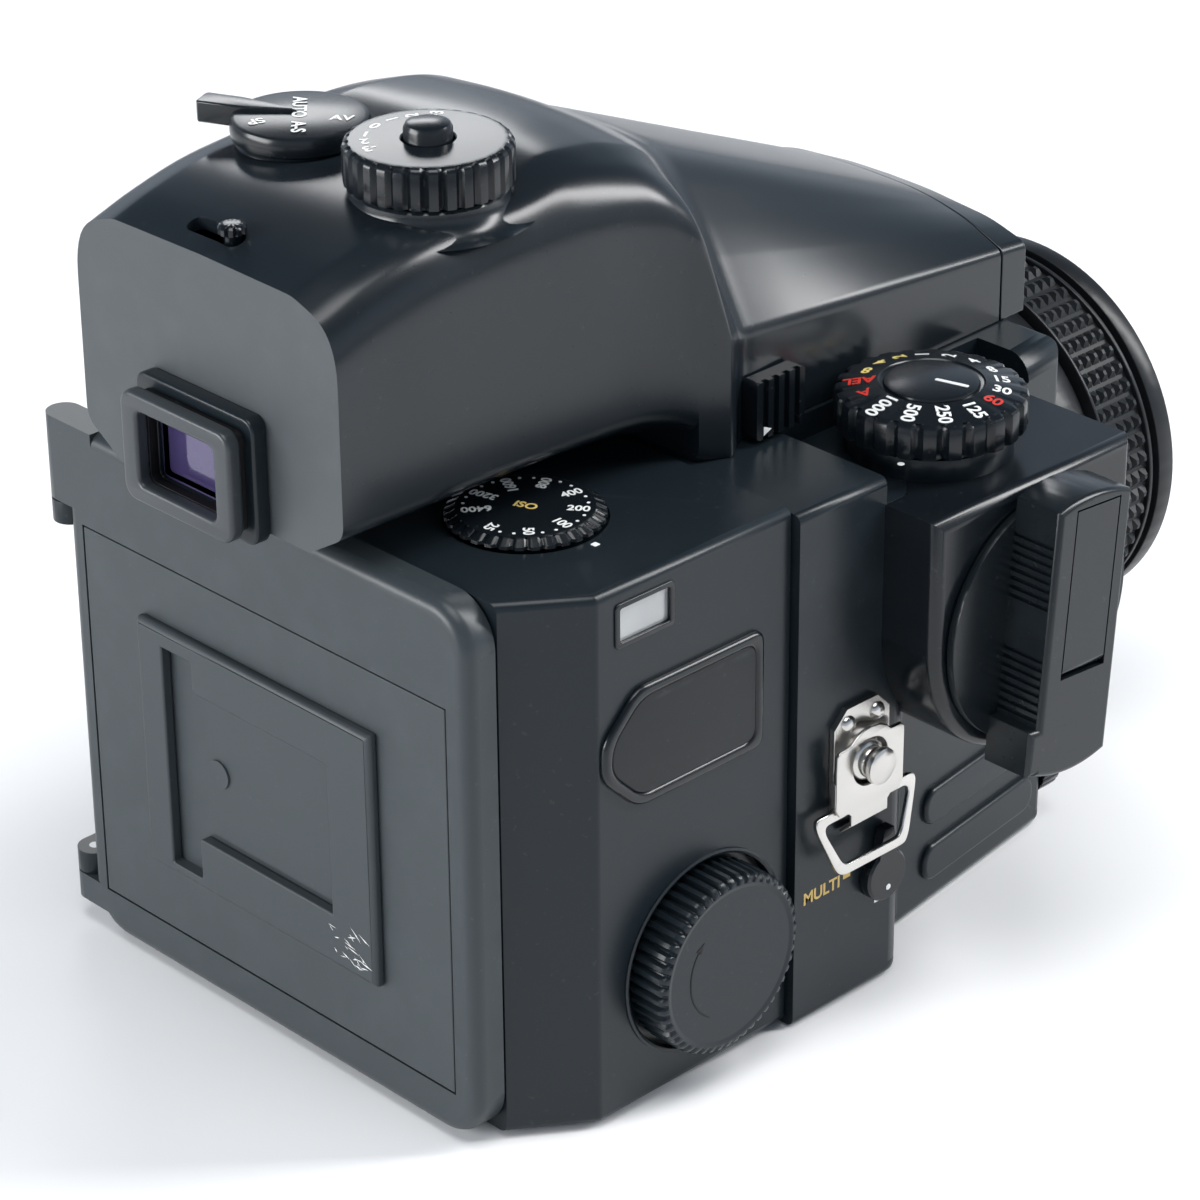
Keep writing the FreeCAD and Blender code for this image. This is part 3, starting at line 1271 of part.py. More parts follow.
def make_rollers_and_pressure_plate():
    inner = insert_half_width - insert_wall
    rollers = [rod("film_roller_%d" % index, "x", roller_radius, -inner, inner, (roller_y, z))
               for index, z in enumerate((roller_low, roller_high))]
    group("film_rollers", *rollers)
    plate = new_body("pressure_plate")
    slab(plate, "XZ", insert_front - pressure_plate_thickness, insert_front,
         lambda sketch: centred_rectangle(sketch, 0, lens_axis_height, pressure_plate_width,
                                          pressure_plate_height))
    keep(plate, "pressure_plate")


def make_iso_dial():
    top = magazine_height + iso_proud
    bottom = magazine_height - iso_sunk + running_gap
    body = fluted_dial("iso_dial", -iso_x, iso_y, bottom, top, iso_radius, iso_stem_radius,
                       magazine_height - magazine_wall - iso_stem_tail, 0, 0, button_edge)
    return keep(body, "iso_dial")


def make_wind_knob():
    body = new_body("wind_knob", 0, wind_knob_y, wind_knob_z)
    back = wind_knob_thickness - wind_knob_reach
    half = spool_length / 2
    tip = spool_bore_depth - half - touch_gap
    turn(body, [(-wind_knob_reach, 0), (-wind_knob_reach, wind_knob_radius - button_edge),
                (button_edge - wind_knob_reach, wind_knob_radius), (back, wind_knob_radius),
                (back, wind_shaft_radius), (-half, wind_shaft_radius), (-half, spool_pin_radius),
                (tip, spool_pin_radius), (tip, 0)], "XZ", "H_Axis")
    rib = slab(body, "YZ", button_edge - wind_knob_reach, back,
               lambda sketch: circle(sketch, wind_knob_radius + wind_rib_radius / 2, 0, wind_rib_radius), True)
    polar(body, rib, "X_Axis", wind_knob_ribs)
    return keep(body, "wind_knob")


def make_window_and_dark_slide():
    floor = window_recess - magazine_reach
    window = box("counter_window", (floor - window_thickness, floor),
                 (window_y - window_width / 2, window_y + window_width / 2),
                 (window_z - window_height / 2, window_z + window_height / 2))
    keep(window, "counter_window")
    middle = magazine_front + magazine_wall / 2
    blade = box("slide_blade", (-slide_width / 2, case_half_width + slide_gap),
                (middle - slide_thickness / 2, middle + slide_thickness / 2),
                (lens_axis_height - slide_height / 2, lens_axis_height + slide_height / 2))
    handle = new_body("slide_handle")
    slab(handle, "YZ", case_half_width + slide_gap, case_half_width + slide_gap + slide_handle_reach,
         lambda sketch: centred_rectangle(sketch, middle, lens_axis_height, slide_handle_depth,
                                          slide_height))
    round_edges(handle, "corners", slide_handle_depth * handle_corner_share, lambda edge: is_along(edge, "x"))
    keep(fuse("dark_slide", blade, handle), "dark_slide")


# Rear door with its hinge, memo holder and latch
def make_rear_door():
    body = new_body("rear_door")
    half = case_half_width
    slab(body, "XZ", door_front, door_rear,
         lambda sketch: rectangle(sketch, -half, half - knuckle_gap, magazine_low, door_height))
    round_edges(body, "corners", door_corner_round, lambda edge: is_along(edge, "y"))
    round_edges(body, "rear_rim", door_edge_round, lambda edge: spans(edge, "y", door_rear))
    hinge_y = door_front + knuckle_radius
    for low, high in ((hinge_knuckle_low, hinge_knuckle_high), (hinge_band_low, door_height)):
        slab(body, "XY", low, high,
             lambda sketch: rectangle(sketch, half - door_corner_round, hinge_x, door_front, door_rear))
        slab(body, "XY", low, high, lambda sketch: circle(sketch, hinge_x, hinge_y, knuckle_radius))
    notch = knuckle_radius + touch_gap
    for low in (hinge_knuckle_high, hinge_band_low - lug_height - knuckle_gap * 2):
        slab(body, "XY", low, low + lug_height + knuckle_gap * 2,
             lambda sketch: rectangle(sketch, hinge_x - notch, hinge_x + notch, door_front, door_rear), True)
    slab(body, "XY", hinge_knuckle_low + knuckle_gap, door_height - hinge_cap,
         lambda sketch: circle(sketch, hinge_x, hinge_y, hinge_pin_radius + running_gap), True)
    slab(body, "XZ", door_front, door_rear - door_skin,
         lambda sketch: rectangle(sketch, door_rim - half, half - door_corner_round - door_rim / 2,
                                  magazine_low + door_rim, door_height - door_rim), True)
    slab(body, "XZ", door_rear - door_panel_thickness, door_rear,
         lambda sketch: rectangle(sketch, -door_panel_left, door_panel_left + door_panel_gap,
                                  door_panel_low, door_panel_high), True)
    return keep(body, "rear_door")


def make_door_fittings():
    gap = door_panel_gap
    panel = new_body("door_panel")
    slab(panel, "XZ", door_rear - door_panel_thickness, door_rear,
         lambda sketch: rectangle(sketch, gap - door_panel_left, door_panel_left, door_panel_low + gap,
                                  door_panel_high - gap))
    keep(panel, "door_panel")
    holder = new_body("memo_holder")
    face = door_rear + memo_proud
    slab(holder, "XZ", door_rear, face,
         lambda sketch: rectangle(sketch, -memo_left, memo_right, memo_low, memo_high))
    round_edges(holder, "rim", memo_edge_round, lambda edge: spans(edge, "y", face))
    slab(holder, "XZ", door_rear, face,
         lambda sketch: rectangle(sketch, -memo_window_left, memo_window_right, memo_window_low,
                                  memo_window_high), True)
    slab(holder, "XZ", door_rear, face,
         lambda sketch: rectangle(sketch, memo_window_right, memo_slot_right, memo_slot_low, memo_slot_high),
         True)
    keep(holder, "memo_holder")
    spring = new_body("memo_spring")
    slab(spring, "XZ", door_rear, door_rear + memo_spring_thickness,
         lambda sketch: rectangle(sketch, gap - memo_window_left, memo_window_right - memo_spring_gap,
                                  memo_window_low + memo_spring_gap, memo_window_high - gap))
    slab(spring, "XZ", door_rear, door_rear + memo_spring_thickness * memo_bump_share,
         lambda sketch: circle(sketch, memo_window_right - memo_spring_gap * 3,
                               (memo_window_low + memo_window_high) / 2, memo_bump_radius))
    keep(spring, "memo_spring")
    pins = []
    hinge_y = door_front + knuckle_radius
    spans_of_pins = ((hinge_knuckle_low + knuckle_gap * 2, hinge_knuckle_high + knuckle_gap + lug_height),
                     (hinge_band_low - knuckle_gap - lug_height, door_height - hinge_cap - knuckle_gap))
    for index, (low, high) in enumerate(spans_of_pins):
        pins.append(rod("hinge_pin_%d" % index, "z", hinge_pin_radius, low, high, (hinge_x, hinge_y)))
    group("hinge_pin", *pins)
    edge = case_half_width - door_rim
    latch = box("door_latch", (-edge, latch_thickness - edge), (door_front - latch_reach, door_rear - door_skin),
                (latch_z - latch_length / 2, latch_z + latch_length / 2))
    keep(latch, "door_latch")


# Prism finder: shell, front frame, prism block, eyepiece, blind lever and two knobs
def section(y, points):
    """Closed outline across the finder at one y, mirrored about x = 0."""
    left = [FreeCAD.Vector(-x, y, z) for x, z in points]
    right = [FreeCAD.Vector(x, y, z) for x, z in reversed(points) if x > 0]
    return Part.makePolygon(left + right + [left[0]])


def finder_stations(inset):
    """Half outlines along the finder, each from the floor's edge up to the ridge; inset hollows it."""
    t = inset
    deck = deck_height.value - (2 * t)
    floor = tunnel_floor.value + t
    half = tunnel_half_width.value - t
    rear_top = tunnel_rear_height.value - t
    mid_top = tunnel_mid_height.value - t
    crown = hood_crest_height.value - t
    wide = hood_half_width.value - t
    mid = hood_mid_half_width.value - t
    front = hood_front_half_width.value - t
    front_top = hood_front_height.value - t
    rise = (crown - front_top) / (hood_crest_y.value + prism_front.value)
    first = front_top - hood_crease_drop.value
    soft = crease_round.value
    flat = crown_flat.value
    hood = []
    for y, half_width, crease, ridge_x in (
            (-prism_front.value, front, first, hood_ridge_front.value),
            (-hood_bend_y.value, (front + mid) / 2, first + hood_bend_rise.value, hood_ridge_bend.value),
            (hood_mid_y.value + touch_gap.value, mid, first + hood_mid_rise.value, hood_ridge_mid.value),
            (hood_rear_y.value, wide, first + hood_rear_rise.value, hood_ridge_rear.value)):
        ridge = front_top + (y + prism_front.value) * rise
        hood.append((y, [(half_width, deck), (half_width, deck + finder_foot.value), (half_width, crease),
                         (half_width - soft, crease + soft),
                         (half_width * hood_cheek_share, (crease + ridge + soft) / 2),
                         (ridge_x, ridge), (flat, ridge + crown_rise.value),
                         (0, ridge + crown_peak.value)]))
    side = wide - knee_step.value
    shoulder = [(side, floor), (side, floor + finder_foot.value), (side, rear_top - shoulder_drop.value),
                (side - soft, rear_top - knee_step.value), (side - finder_foot.value, rear_top),
                (shoulder_ridge.value, rear_top + shoulder_rise.value),
                (flat, mid_top - crown_peak.value), (0, mid_top - crown_rise.value)]
    knee = [(side, deck), (side, deck + finder_foot.value)] + shoulder[2:]
    hood.append((hood_rear_y.value + hood_step.value, knee))
    tunnel = [(hood_rear_y.value + hood_step.value, shoulder)]
    flare = tunnel_flare.value
    corner = crest_round.value
    for y, half_width, crest, top in (
            (tunnel_front_y.value, half + flare, mid_top - shoulder_rise.value, crown - crown_peak.value),
            (hood_crest_y.value + hood_step.value, half + flare * flare_rear_share,
             mid_top - knee_step.value, crown),
            (tunnel_mid_y.value - tunnel_flat.value, half + flare / 2, mid_top - crown_peak.value, mid_top),
            (tunnel_mid_y.value + tunnel_flat.value, half + flare / 4, mid_top - shoulder_rise.value, mid_top),
            (prism_rear.value - t, half, rear_top - shoulder_rise.value, rear_top)):
        tunnel.append((y, [(half_width - floor_tuck.value, floor),
                           (half_width - knee_step.value, floor + shoulder_drop.value),
                           (half_width, crest - corner), (half_width - soft / 3, crest - corner / 2),
                           (half_width - corner / 2, crest),
                           (half_width * tunnel_cheek_share, top - crown_rise.value),
                           (flat, top - crown_line), (0, top)]))
    return hood, tunnel


def finder_solid(inset):
    hood, tunnel = finder_stations(inset)
    solids = [Part.makeLoft([section(y, points) for y, points in stations], True, True)
              for stations in (hood, tunnel)]
    return solids[0].fuse(solids[1]).removeSplitter()


def make_prism_shell():
    outer = doc.addObject("Part::Feature", "prism_outer")
    outer.Shape = finder_solid(0)
    inner = doc.addObject("Part::Feature", "prism_inner")
    inner.Shape = finder_solid(prism_wall.value)
    front = box("prism_front_cut", (-hood_half_width, hood_half_width),
                (-prism_front * overshoot, prism_front_frame_depth + seam_gap - prism_front),
                (0, hood_crest_height))
    front_wall = box("prism_front_wall",
                     (-hood_front_half_width * front_wall_share, hood_front_half_width * front_wall_share),
                     (prism_front_frame_depth + seam_gap - prism_front,
                      prism_front_frame_depth + seam_gap + prism_wall - prism_front),
                     (deck_height, hood_front_height - prism_wall))
    boss = rod("prism_boss", "z", compensation_radius * boss_share, tunnel_mid_height - prism_wall,
               compensation_top - compensation_height - touch_gap, (-compensation_x, knob_y))
    mode_boss = rod("mode_boss", "z", mode_dial_radius * boss_share, tunnel_mid_height - prism_wall,
                    mode_dial_top - mode_dial_height - touch_gap, (mode_dial_x, knob_y))
    shell = fuse("prism_walls", cut("prism_hollow", outer, inner, front), front_wall, boss, mode_boss)
    eye_hole = box("eye_hole", (-eyepiece_opening_width / 2, eyepiece_opening_width / 2),
                   (prism_rear - prism_wall * 2, prism_rear * overshoot),
                   (eyepiece_z - eyepiece_opening_height / 2, eyepiece_z + eyepiece_opening_height / 2))
    low = tunnel_mid_height - prism_wall * 3
    holes = [rod("compensation_hole", "z", knob_post_radius + running_gap, low, compensation_top,
                 (-compensation_x, knob_y)),
             rod("mode_hole", "z", knob_post_radius + running_gap, low, compensation_top,
                 (mode_dial_x, knob_y))]
    slot = box("blind_slot", (blind_slot_x - blind_slot_length / 2, blind_slot_x + blind_slot_length / 2),
               (blind_slot_y - blind_slot_width / 2, blind_slot_y + blind_slot_width / 2),
               (tunnel_rear_height - prism_wall * 4, compensation_top))
    return keep(cut("prism_shell", shell, eye_hole, slot, *holes), "prism_shell")


def make_prism_front_frame():
    body = new_body("prism_front_frame")
    half = hood_front_half_width
    back = prism_front_frame_depth - prism_front
    slab(body, "XZ", -prism_front, back,
         lambda sketch: outline(sketch, [(-half, deck_height), (half, deck_height),
                                         (half, hood_front_height - front_frame_chamfer),
                                         (half - front_frame_chamfer, hood_front_height),
                                         (front_frame_chamfer - half, hood_front_height),
                                         (-half, hood_front_height - front_frame_chamfer)]))
    round_edges(body, "rim", deck_edge_round, lambda edge: spans(edge, "y", -prism_front))
    slab(body, "XZ", -prism_front, -(body_front + touch_gap),
         lambda sketch: rectangle(sketch, -half * front_lip_share, half * front_lip_share,
                                  deck_height - front_lip, deck_height))
    return keep(body, "prism_front_frame")


def make_pentaprism():
    body = new_body("pentaprism")
    slab(body, "YZ", -pentaprism_half_width, pentaprism_half_width,
         lambda sketch: outline(sketch, [(-screen_window_front * prism_front_share, prism_seat),
                                         (screen_window_rear, prism_seat),
                                         (screen_window_rear * prism_rear_share, prism_seat + pentaprism_rear_height),
                                         (screen_window_rear * prism_top_share, prism_seat + pentaprism_height),
                                         (-screen_window_front * prism_front_share,
                                          prism_seat + pentaprism_front_height)]))
    return keep(body, "pentaprism")


def make_eyepiece():
    frame = new_body("eyepiece_frame", 0, 0, eyepiece_z)
    frame_back = prism_rear + eyepiece_frame_thickness
    neck_back = frame_back + eyepiece_neck_length
    slab(frame, "XZ", prism_rear, frame_back,
         lambda sketch: centred_rectangle(sketch, 0, 0, eyepiece_frame_width, eyepiece_frame_height))
    round_edges(frame, "corners", eyepiece_corner_round, lambda edge: is_along(edge, "y"))
    slab(frame, "XZ", frame_back, neck_back,
         lambda sketch: centred_rectangle(sketch, 0, 0, eyecup_width * neck_share, eyecup_height * neck_share))
    slab(frame, "XZ", prism_rear, neck_back,
         lambda sketch: centred_rectangle(sketch, 0, 0, eyepiece_opening_width, eyepiece_opening_height), True)
    keep(frame, "eyepiece_frame")
    cup = new_body("eyecup", 0, 0, eyepiece_z)
    slab(cup, "XZ", neck_back, neck_back + eyecup_thickness,
         lambda sketch: centred_rectangle(sketch, 0, 0, eyecup_width, eyecup_height))
    round_edges(cup, "corners", eyepiece_corner_round, lambda edge: is_along(edge, "y"))
    slab(cup, "XZ", neck_back, neck_back + eyecup_thickness,
         lambda sketch: centred_rectangle(sketch, 0, 0, eyepiece_opening_width, eyepiece_opening_height), True)
    keep(cup, "eyecup")
    lens = new_body("eyepiece_lens", 0, 0, eyepiece_z)
    slab(lens, "XZ", prism_rear, prism_rear + eyepiece_lens_thickness,
         lambda sketch: centred_rectangle(sketch, 0, 0, eyepiece_opening_width, eyepiece_opening_height))
    keep(lens, "eyepiece_lens")


def make_blind_lever():
    body = new_body("blind_lever", -blind_lever_x, blind_slot_y, tunnel_rear_height)
    stem = blind_slot_width / 2 - touch_gap
    slab(body, "XY", -blind_stem_depth, blind_lever_height, lambda sketch: circle(sketch, 0, 0, stem))
    slab(body, "XY", blind_lever_height / 2, blind_lever_height,
         lambda sketch: centred_rectangle(sketch, 0, 0, blind_lever_width, blind_slot_width))
    return keep(body, "blind_lever")


def make_finder_knobs():
    mode_bottom = mode_dial_top - mode_dial_height
    mode = fluted_dial("mode_dial", mode_dial_x, knob_y, mode_bottom, mode_dial_top, mode_dial_radius,
                       knob_post_radius, mode_bottom - knob_post_depth, 0, 0, button_edge)
    slab(mode, "XY", mode_bottom, mode_dial_top,
         lambda sketch: rectangle(sketch, mode_dial_radius * mode_tab_root_share,
                                  mode_dial_radius + mode_tab_length,
                                  -mode_tab_width / 2, mode_tab_width / 2))
    mode.Placement.Rotation = FreeCAD.Rotation(UP, 1)
    mode.setExpression("Placement.Rotation.Angle", mode_rest_angle.text)
    keep(mode, "mode_dial")
    bottom = compensation_top - compensation_height
    knob = fluted_dial("compensation_knob", -compensation_x, knob_y, bottom, compensation_top,
                       compensation_radius, knob_post_radius, bottom - knob_post_depth,
                       compensation_flutes, compensation_flute_radius, button_edge)
    well = compensation_top - compensation_height * knob_well_share
    slab(knob, "XY", well, compensation_top,
         lambda sketch: circle(sketch, 0, 0, compensation_button_radius + running_gap), True)
    keep(knob, "compensation_knob")
    button = new_body("compensation_button", -compensation_x, knob_y)
    top = compensation_top + compensation_button_proud
    turn(button, [(0, well + compensation_button_travel + touch_gap),
                  (compensation_button_radius, well + compensation_button_travel + touch_gap),
                  (compensation_button_radius, top - button_edge),
                  (compensation_button_radius - button_edge, top), (0, top)], "XZ", "V_Axis")
    keep(button, "compensation_button")


# Lens: fixed barrel with two rotating rings and a front barrel that slides
def lens_part(node, points):
    body = new_body(node, 0, 0, lens_axis_height)
    turn(body, points)
    return keep(body, node)


barrel_start = -(body_front + touch_gap)
aperture_start = barrel_start - barrel_base_length
aperture_end = aperture_start - aperture_ring_length
focus_start = -(body_front + grip_reach)
front_lip_y = -(lens_rim_y - lens_rim_length)
focus_end = front_lip_y + ring_gap
tube_bore = focus_tube_radius - barrel_tube_wall


def make_lens():
    step = lens_ring_radius - ring_step
    lens_part("lens_barrel", [
        (barrel_rear, rear_glass_radius), (barrel_rear, mount_ring_bore - running_gap * 2),
        (barrel_start, mount_ring_bore - running_gap * 2), (barrel_start, lens_ring_radius),
        (aperture_start, lens_ring_radius), (aperture_start, step), (aperture_end, step),
        (aperture_end, lens_ring_radius), (focus_start + ring_gap, lens_ring_radius),
        (focus_start + ring_gap, focus_tube_radius), (focus_end, focus_tube_radius), (focus_end, tube_bore),
        (iris_y - iris_room, tube_bore), (iris_y - iris_room, barrel_inner_radius),
        (barrel_start, barrel_inner_radius), (barrel_start, rear_glass_radius)])
    gap = touch_gap
    lens_part("aperture_ring", [
        (aperture_start - gap, step + running_gap), (aperture_start - gap, lens_ring_radius),
        (aperture_end + gap, lens_ring_radius), (aperture_end + gap, step + running_gap)])
    lens_part("focus_ring", [
        (focus_start, focus_tube_radius + running_gap), (focus_start, grip_radius),
        (focus_start - grip_rim, grip_radius), (focus_start - grip_rim, grip_radius - grip_thickness),
        (focus_end + grip_rim + gap, grip_radius - grip_thickness), (focus_end + grip_rim + gap, grip_radius),
        (focus_end + gap, grip_radius), (focus_end + gap, focus_tube_radius + running_gap)])
    lens_part("focus_grip", [
        (focus_start - grip_rim, grip_radius - grip_thickness),
        (focus_start - grip_rim, grip_radius), (focus_end + grip_rim + gap, grip_radius),
        (focus_end + grip_rim + gap, grip_radius - grip_thickness)])
    tube = tube_bore - running_gap
    tube_rear = iris_y - iris_room - front_tube_gap
    lens_part("front_barrel", [
        (-lens_rim_y, filter_radius), (-lens_rim_y, lens_rim_radius - button_edge),
        (button_edge - lens_rim_y, lens_rim_radius), (front_lip_y, lens_rim_radius), (front_lip_y, tube),
        (tube_rear, tube), (tube_rear, tube - front_tube_wall),
        (front_cell_rear, tube - front_tube_wall), (front_cell_rear, front_glass_radius),
        (filter_depth - lens_rim_y, front_glass_radius), (filter_depth - lens_rim_y, filter_radius)])
    lens_part("front_element", [
        (filter_depth - lens_rim_y, 0), (filter_depth - lens_rim_y, front_glass_radius),
        (filter_depth - lens_rim_y + front_glass_thickness, front_glass_radius),
        (filter_depth - lens_rim_y + front_glass_thickness, 0)])
    lens_part("rear_element", [
        (barrel_rear, 0), (barrel_rear, rear_glass_radius),
        (barrel_rear - rear_glass_thickness, rear_glass_radius), (barrel_rear - rear_glass_thickness, 0)])
    blades = []
    count = int(iris_blades_count.value)
    for index in range(count):
        blade = new_body("iris_blade_%d" % index, 0, iris_y - iris_pitch * index, lens_axis_height)
        slab(blade, "XZ", 0, iris_blade_thickness,
             lambda sketch: outline(sketch, [(-iris_radius * iris_tip_share, iris_radius * iris_opening_share),
                                             (iris_radius * iris_tip_share, iris_radius * iris_opening_share),
                                             (iris_radius * iris_root_share, iris_radius * iris_reach_share),
                                             (-iris_radius * iris_root_share, iris_radius * iris_reach_share)]))
        blade.Placement.Rotation = FreeCAD.Rotation(AXES["y"], 360 * index / count)
        blades.append(blade)
    group("iris_blades", *blades)


def collar_of_release():
    tail = wall - body_front + touch_gap
    plunger("shutter_release", -release_x, release_z, release_button_radius, release_button_proud, tail,
            release_button_radius + flange_overhang)
    plunger("lens_release_button", lens_release_x, lens_release_z, lens_release_radius, lens_release_proud,
            tail, lens_release_radius + flange_overhang)


make_body_shell()
make_base_plate()
make_base_screws()
make_tripod_bush()
make_lens_mount_ring()
collar_of_release()
make_release_collar()
make_mirror_box()
make_mirror_holder()
make_mirror()
make_screen_and_shutter()
make_shutter_dial()
make_finder_release()
make_crank_housing()
make_crank_disc()
make_crank_arm()
make_crank_handle()
make_lugs()
make_strap_ring("right")
make_strap_ring("left")
make_multi_lever()
make_magazine_shell()
make_film_insert()
make_spool("supply_spool", spool_y, supply_spool_z)
make_spool("take_up_spool", wind_knob_y, wind_knob_z)
make_rollers_and_pressure_plate()
make_iso_dial()
make_wind_knob()
make_window_and_dark_slide()
make_rear_door()
make_door_fittings()
make_prism_shell()
make_prism_front_frame()
make_pentaprism()
make_eyepiece()
make_blind_lever()
make_finder_knobs()
make_lens()

doc.recompute()
faults = [item.Name for item in doc.Objects if "Invalid" in item.State or "Error" in item.State]
bad = [item.Label for item in NODES if item.Shape.isNull() or not item.Shape.isValid()]
if faults or bad:
    raise RuntimeError("faulty features: %s, bad shapes: %s" % (faults, bad))
for item in NODES:
    item.Shape.exportStep("parts/%s.step" % item.Label)
    print("%-20s %10.1f mm3 %s" % (item.Label, item.Shape.Volume, item.Shape.BoundBox))
print("%d sub-parts written" % len(NODES))
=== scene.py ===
# %% [markdown]
# # A medium format film camera
# The camera stands on a white table and is seen from behind, above and to the right, the way the person
# using it would look down on it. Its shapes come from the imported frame. This script gives every piece its
# finish and adds what is finer than the frame: printed figures, rivets, rubber studs and fluted rims. All
# lengths in the lists below are in millimetres, in the frame's own directions: the lens looks along -Y,
# the winding crank is on the -X side and +Z is up.

# %% Load the frame
import math
import random

import bmesh
import bpy
from mathutils import Matrix, Vector


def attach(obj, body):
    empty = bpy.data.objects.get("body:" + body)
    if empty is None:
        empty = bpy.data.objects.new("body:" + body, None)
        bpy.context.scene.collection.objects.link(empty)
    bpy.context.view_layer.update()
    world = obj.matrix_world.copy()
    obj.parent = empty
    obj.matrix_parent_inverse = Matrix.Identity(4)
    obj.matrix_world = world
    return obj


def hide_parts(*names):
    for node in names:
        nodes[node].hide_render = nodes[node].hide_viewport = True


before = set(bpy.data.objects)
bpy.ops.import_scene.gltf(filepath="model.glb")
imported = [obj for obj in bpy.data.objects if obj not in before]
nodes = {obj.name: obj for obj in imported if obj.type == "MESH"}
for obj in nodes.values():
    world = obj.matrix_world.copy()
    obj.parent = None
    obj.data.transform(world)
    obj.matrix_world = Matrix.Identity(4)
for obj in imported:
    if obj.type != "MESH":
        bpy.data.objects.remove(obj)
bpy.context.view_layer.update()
scene = bpy.context.scene
MM = 0.001


# %% [markdown]
# ## Shared surface effects
# Real moulded plastic is never one flat colour. Two effects repeat on most pieces, so each is a node
# group: a fine grain that breaks up reflections, and handling wear that lightens the edges in patches and
# lays specks of dust. A group is built once and every material sets its own amounts, which is less work
# than drawing the same nodes in each material and keeps them alike.

# %% Node group helpers
def new_group(name, inputs, outputs):
    """An empty shader group with value and colour sockets."""
    tree = bpy.data.node_groups.new(name, "ShaderNodeTree")
    for label, kind, default in inputs:
        socket = tree.interface.new_socket(label, in_out="INPUT", socket_type=kind)
        socket.default_value = default
    for label, kind in outputs:
        tree.interface.new_socket(label, in_out="OUTPUT", socket_type=kind)
    return tree, tree.nodes.new("NodeGroupInput"), tree.nodes.new("NodeGroupOutput")


def add(tree, kind, links=(), **values):
    """A node with values set by socket name and links made from (input name, output socket)."""
    node = tree.nodes.new(kind)
    for key, value in values.items():
        if hasattr(node, key):
            setattr(node, key, value)
        else:
            node.inputs[key.replace("_", " ")].default_value = value
    for name, source in links:
        tree.links.new(source, node.inputs[name])
    return node


print("node helpers", new_group.__name__, add.__name__)


# %% [markdown]
# ## Moulded grain
# The mould of a camera body is roughened on purpose, which leaves a grain of a few tenths of a millimetre
# in the plastic. Modelled, it would take millions of faces, so a fine noise drives the bump height. A
# broad noise varies the roughness, so that a reflection never ends in one clean line.

# %% Moulded grain
CLOUD_SCALE = 55.0


def build_grain_group():
    tree, given, out = new_group(
        "moulded_grain",
        [("Grain Size", "NodeSocketFloat", 2600.0), ("Sparkle", "NodeSocketFloat", 0.08),
         ("Roughness", "NodeSocketFloat", 0.35)],
        [("Height", "NodeSocketFloat"), ("Roughness", "NodeSocketFloat")])
    place = add(tree, "ShaderNodeTexCoord")
    fine = add(tree, "ShaderNodeTexNoise", [("Vector", place.outputs["Object"]),
                                            ("Scale", given.outputs["Grain Size"])], Detail=2.0)
    broad = add(tree, "ShaderNodeTexNoise", [("Vector", place.outputs["Object"])], Scale=CLOUD_SCALE,
                Detail=3.0)
    spread = add(tree, "ShaderNodeMath", [(0, broad.outputs["Fac"]), (1, given.outputs["Sparkle"])],
                 operation="MULTIPLY")
    total = add(tree, "ShaderNodeMath", [(0, spread.outputs[0]), (1, given.outputs["Roughness"])],
                operation="ADD")
    tree.links.new(fine.outputs["Fac"], out.inputs["Height"])
    tree.links.new(total.outputs[0], out.inputs["Roughness"])
    return tree


grain_group = build_grain_group()
print("grain group sockets", [item.name for item in grain_group.interface.items_tree])


# %% [markdown]
# ## Handling wear
# Hands lighten the edges of a camera first. Wear could be painted on, but Pointiness already tells where
# the edges are, and a cloudy noise breaks them up into patches. Sparse specks of dust come last, because
# dust lies on worn and unworn plastic alike.

# %% Handling wear
MIX_FACTOR, MIX_FIRST, MIX_SECOND, MIX_RESULT = 0, 6, 7, 2
DUST_COLOUR = (0.6, 0.6, 0.58, 1)


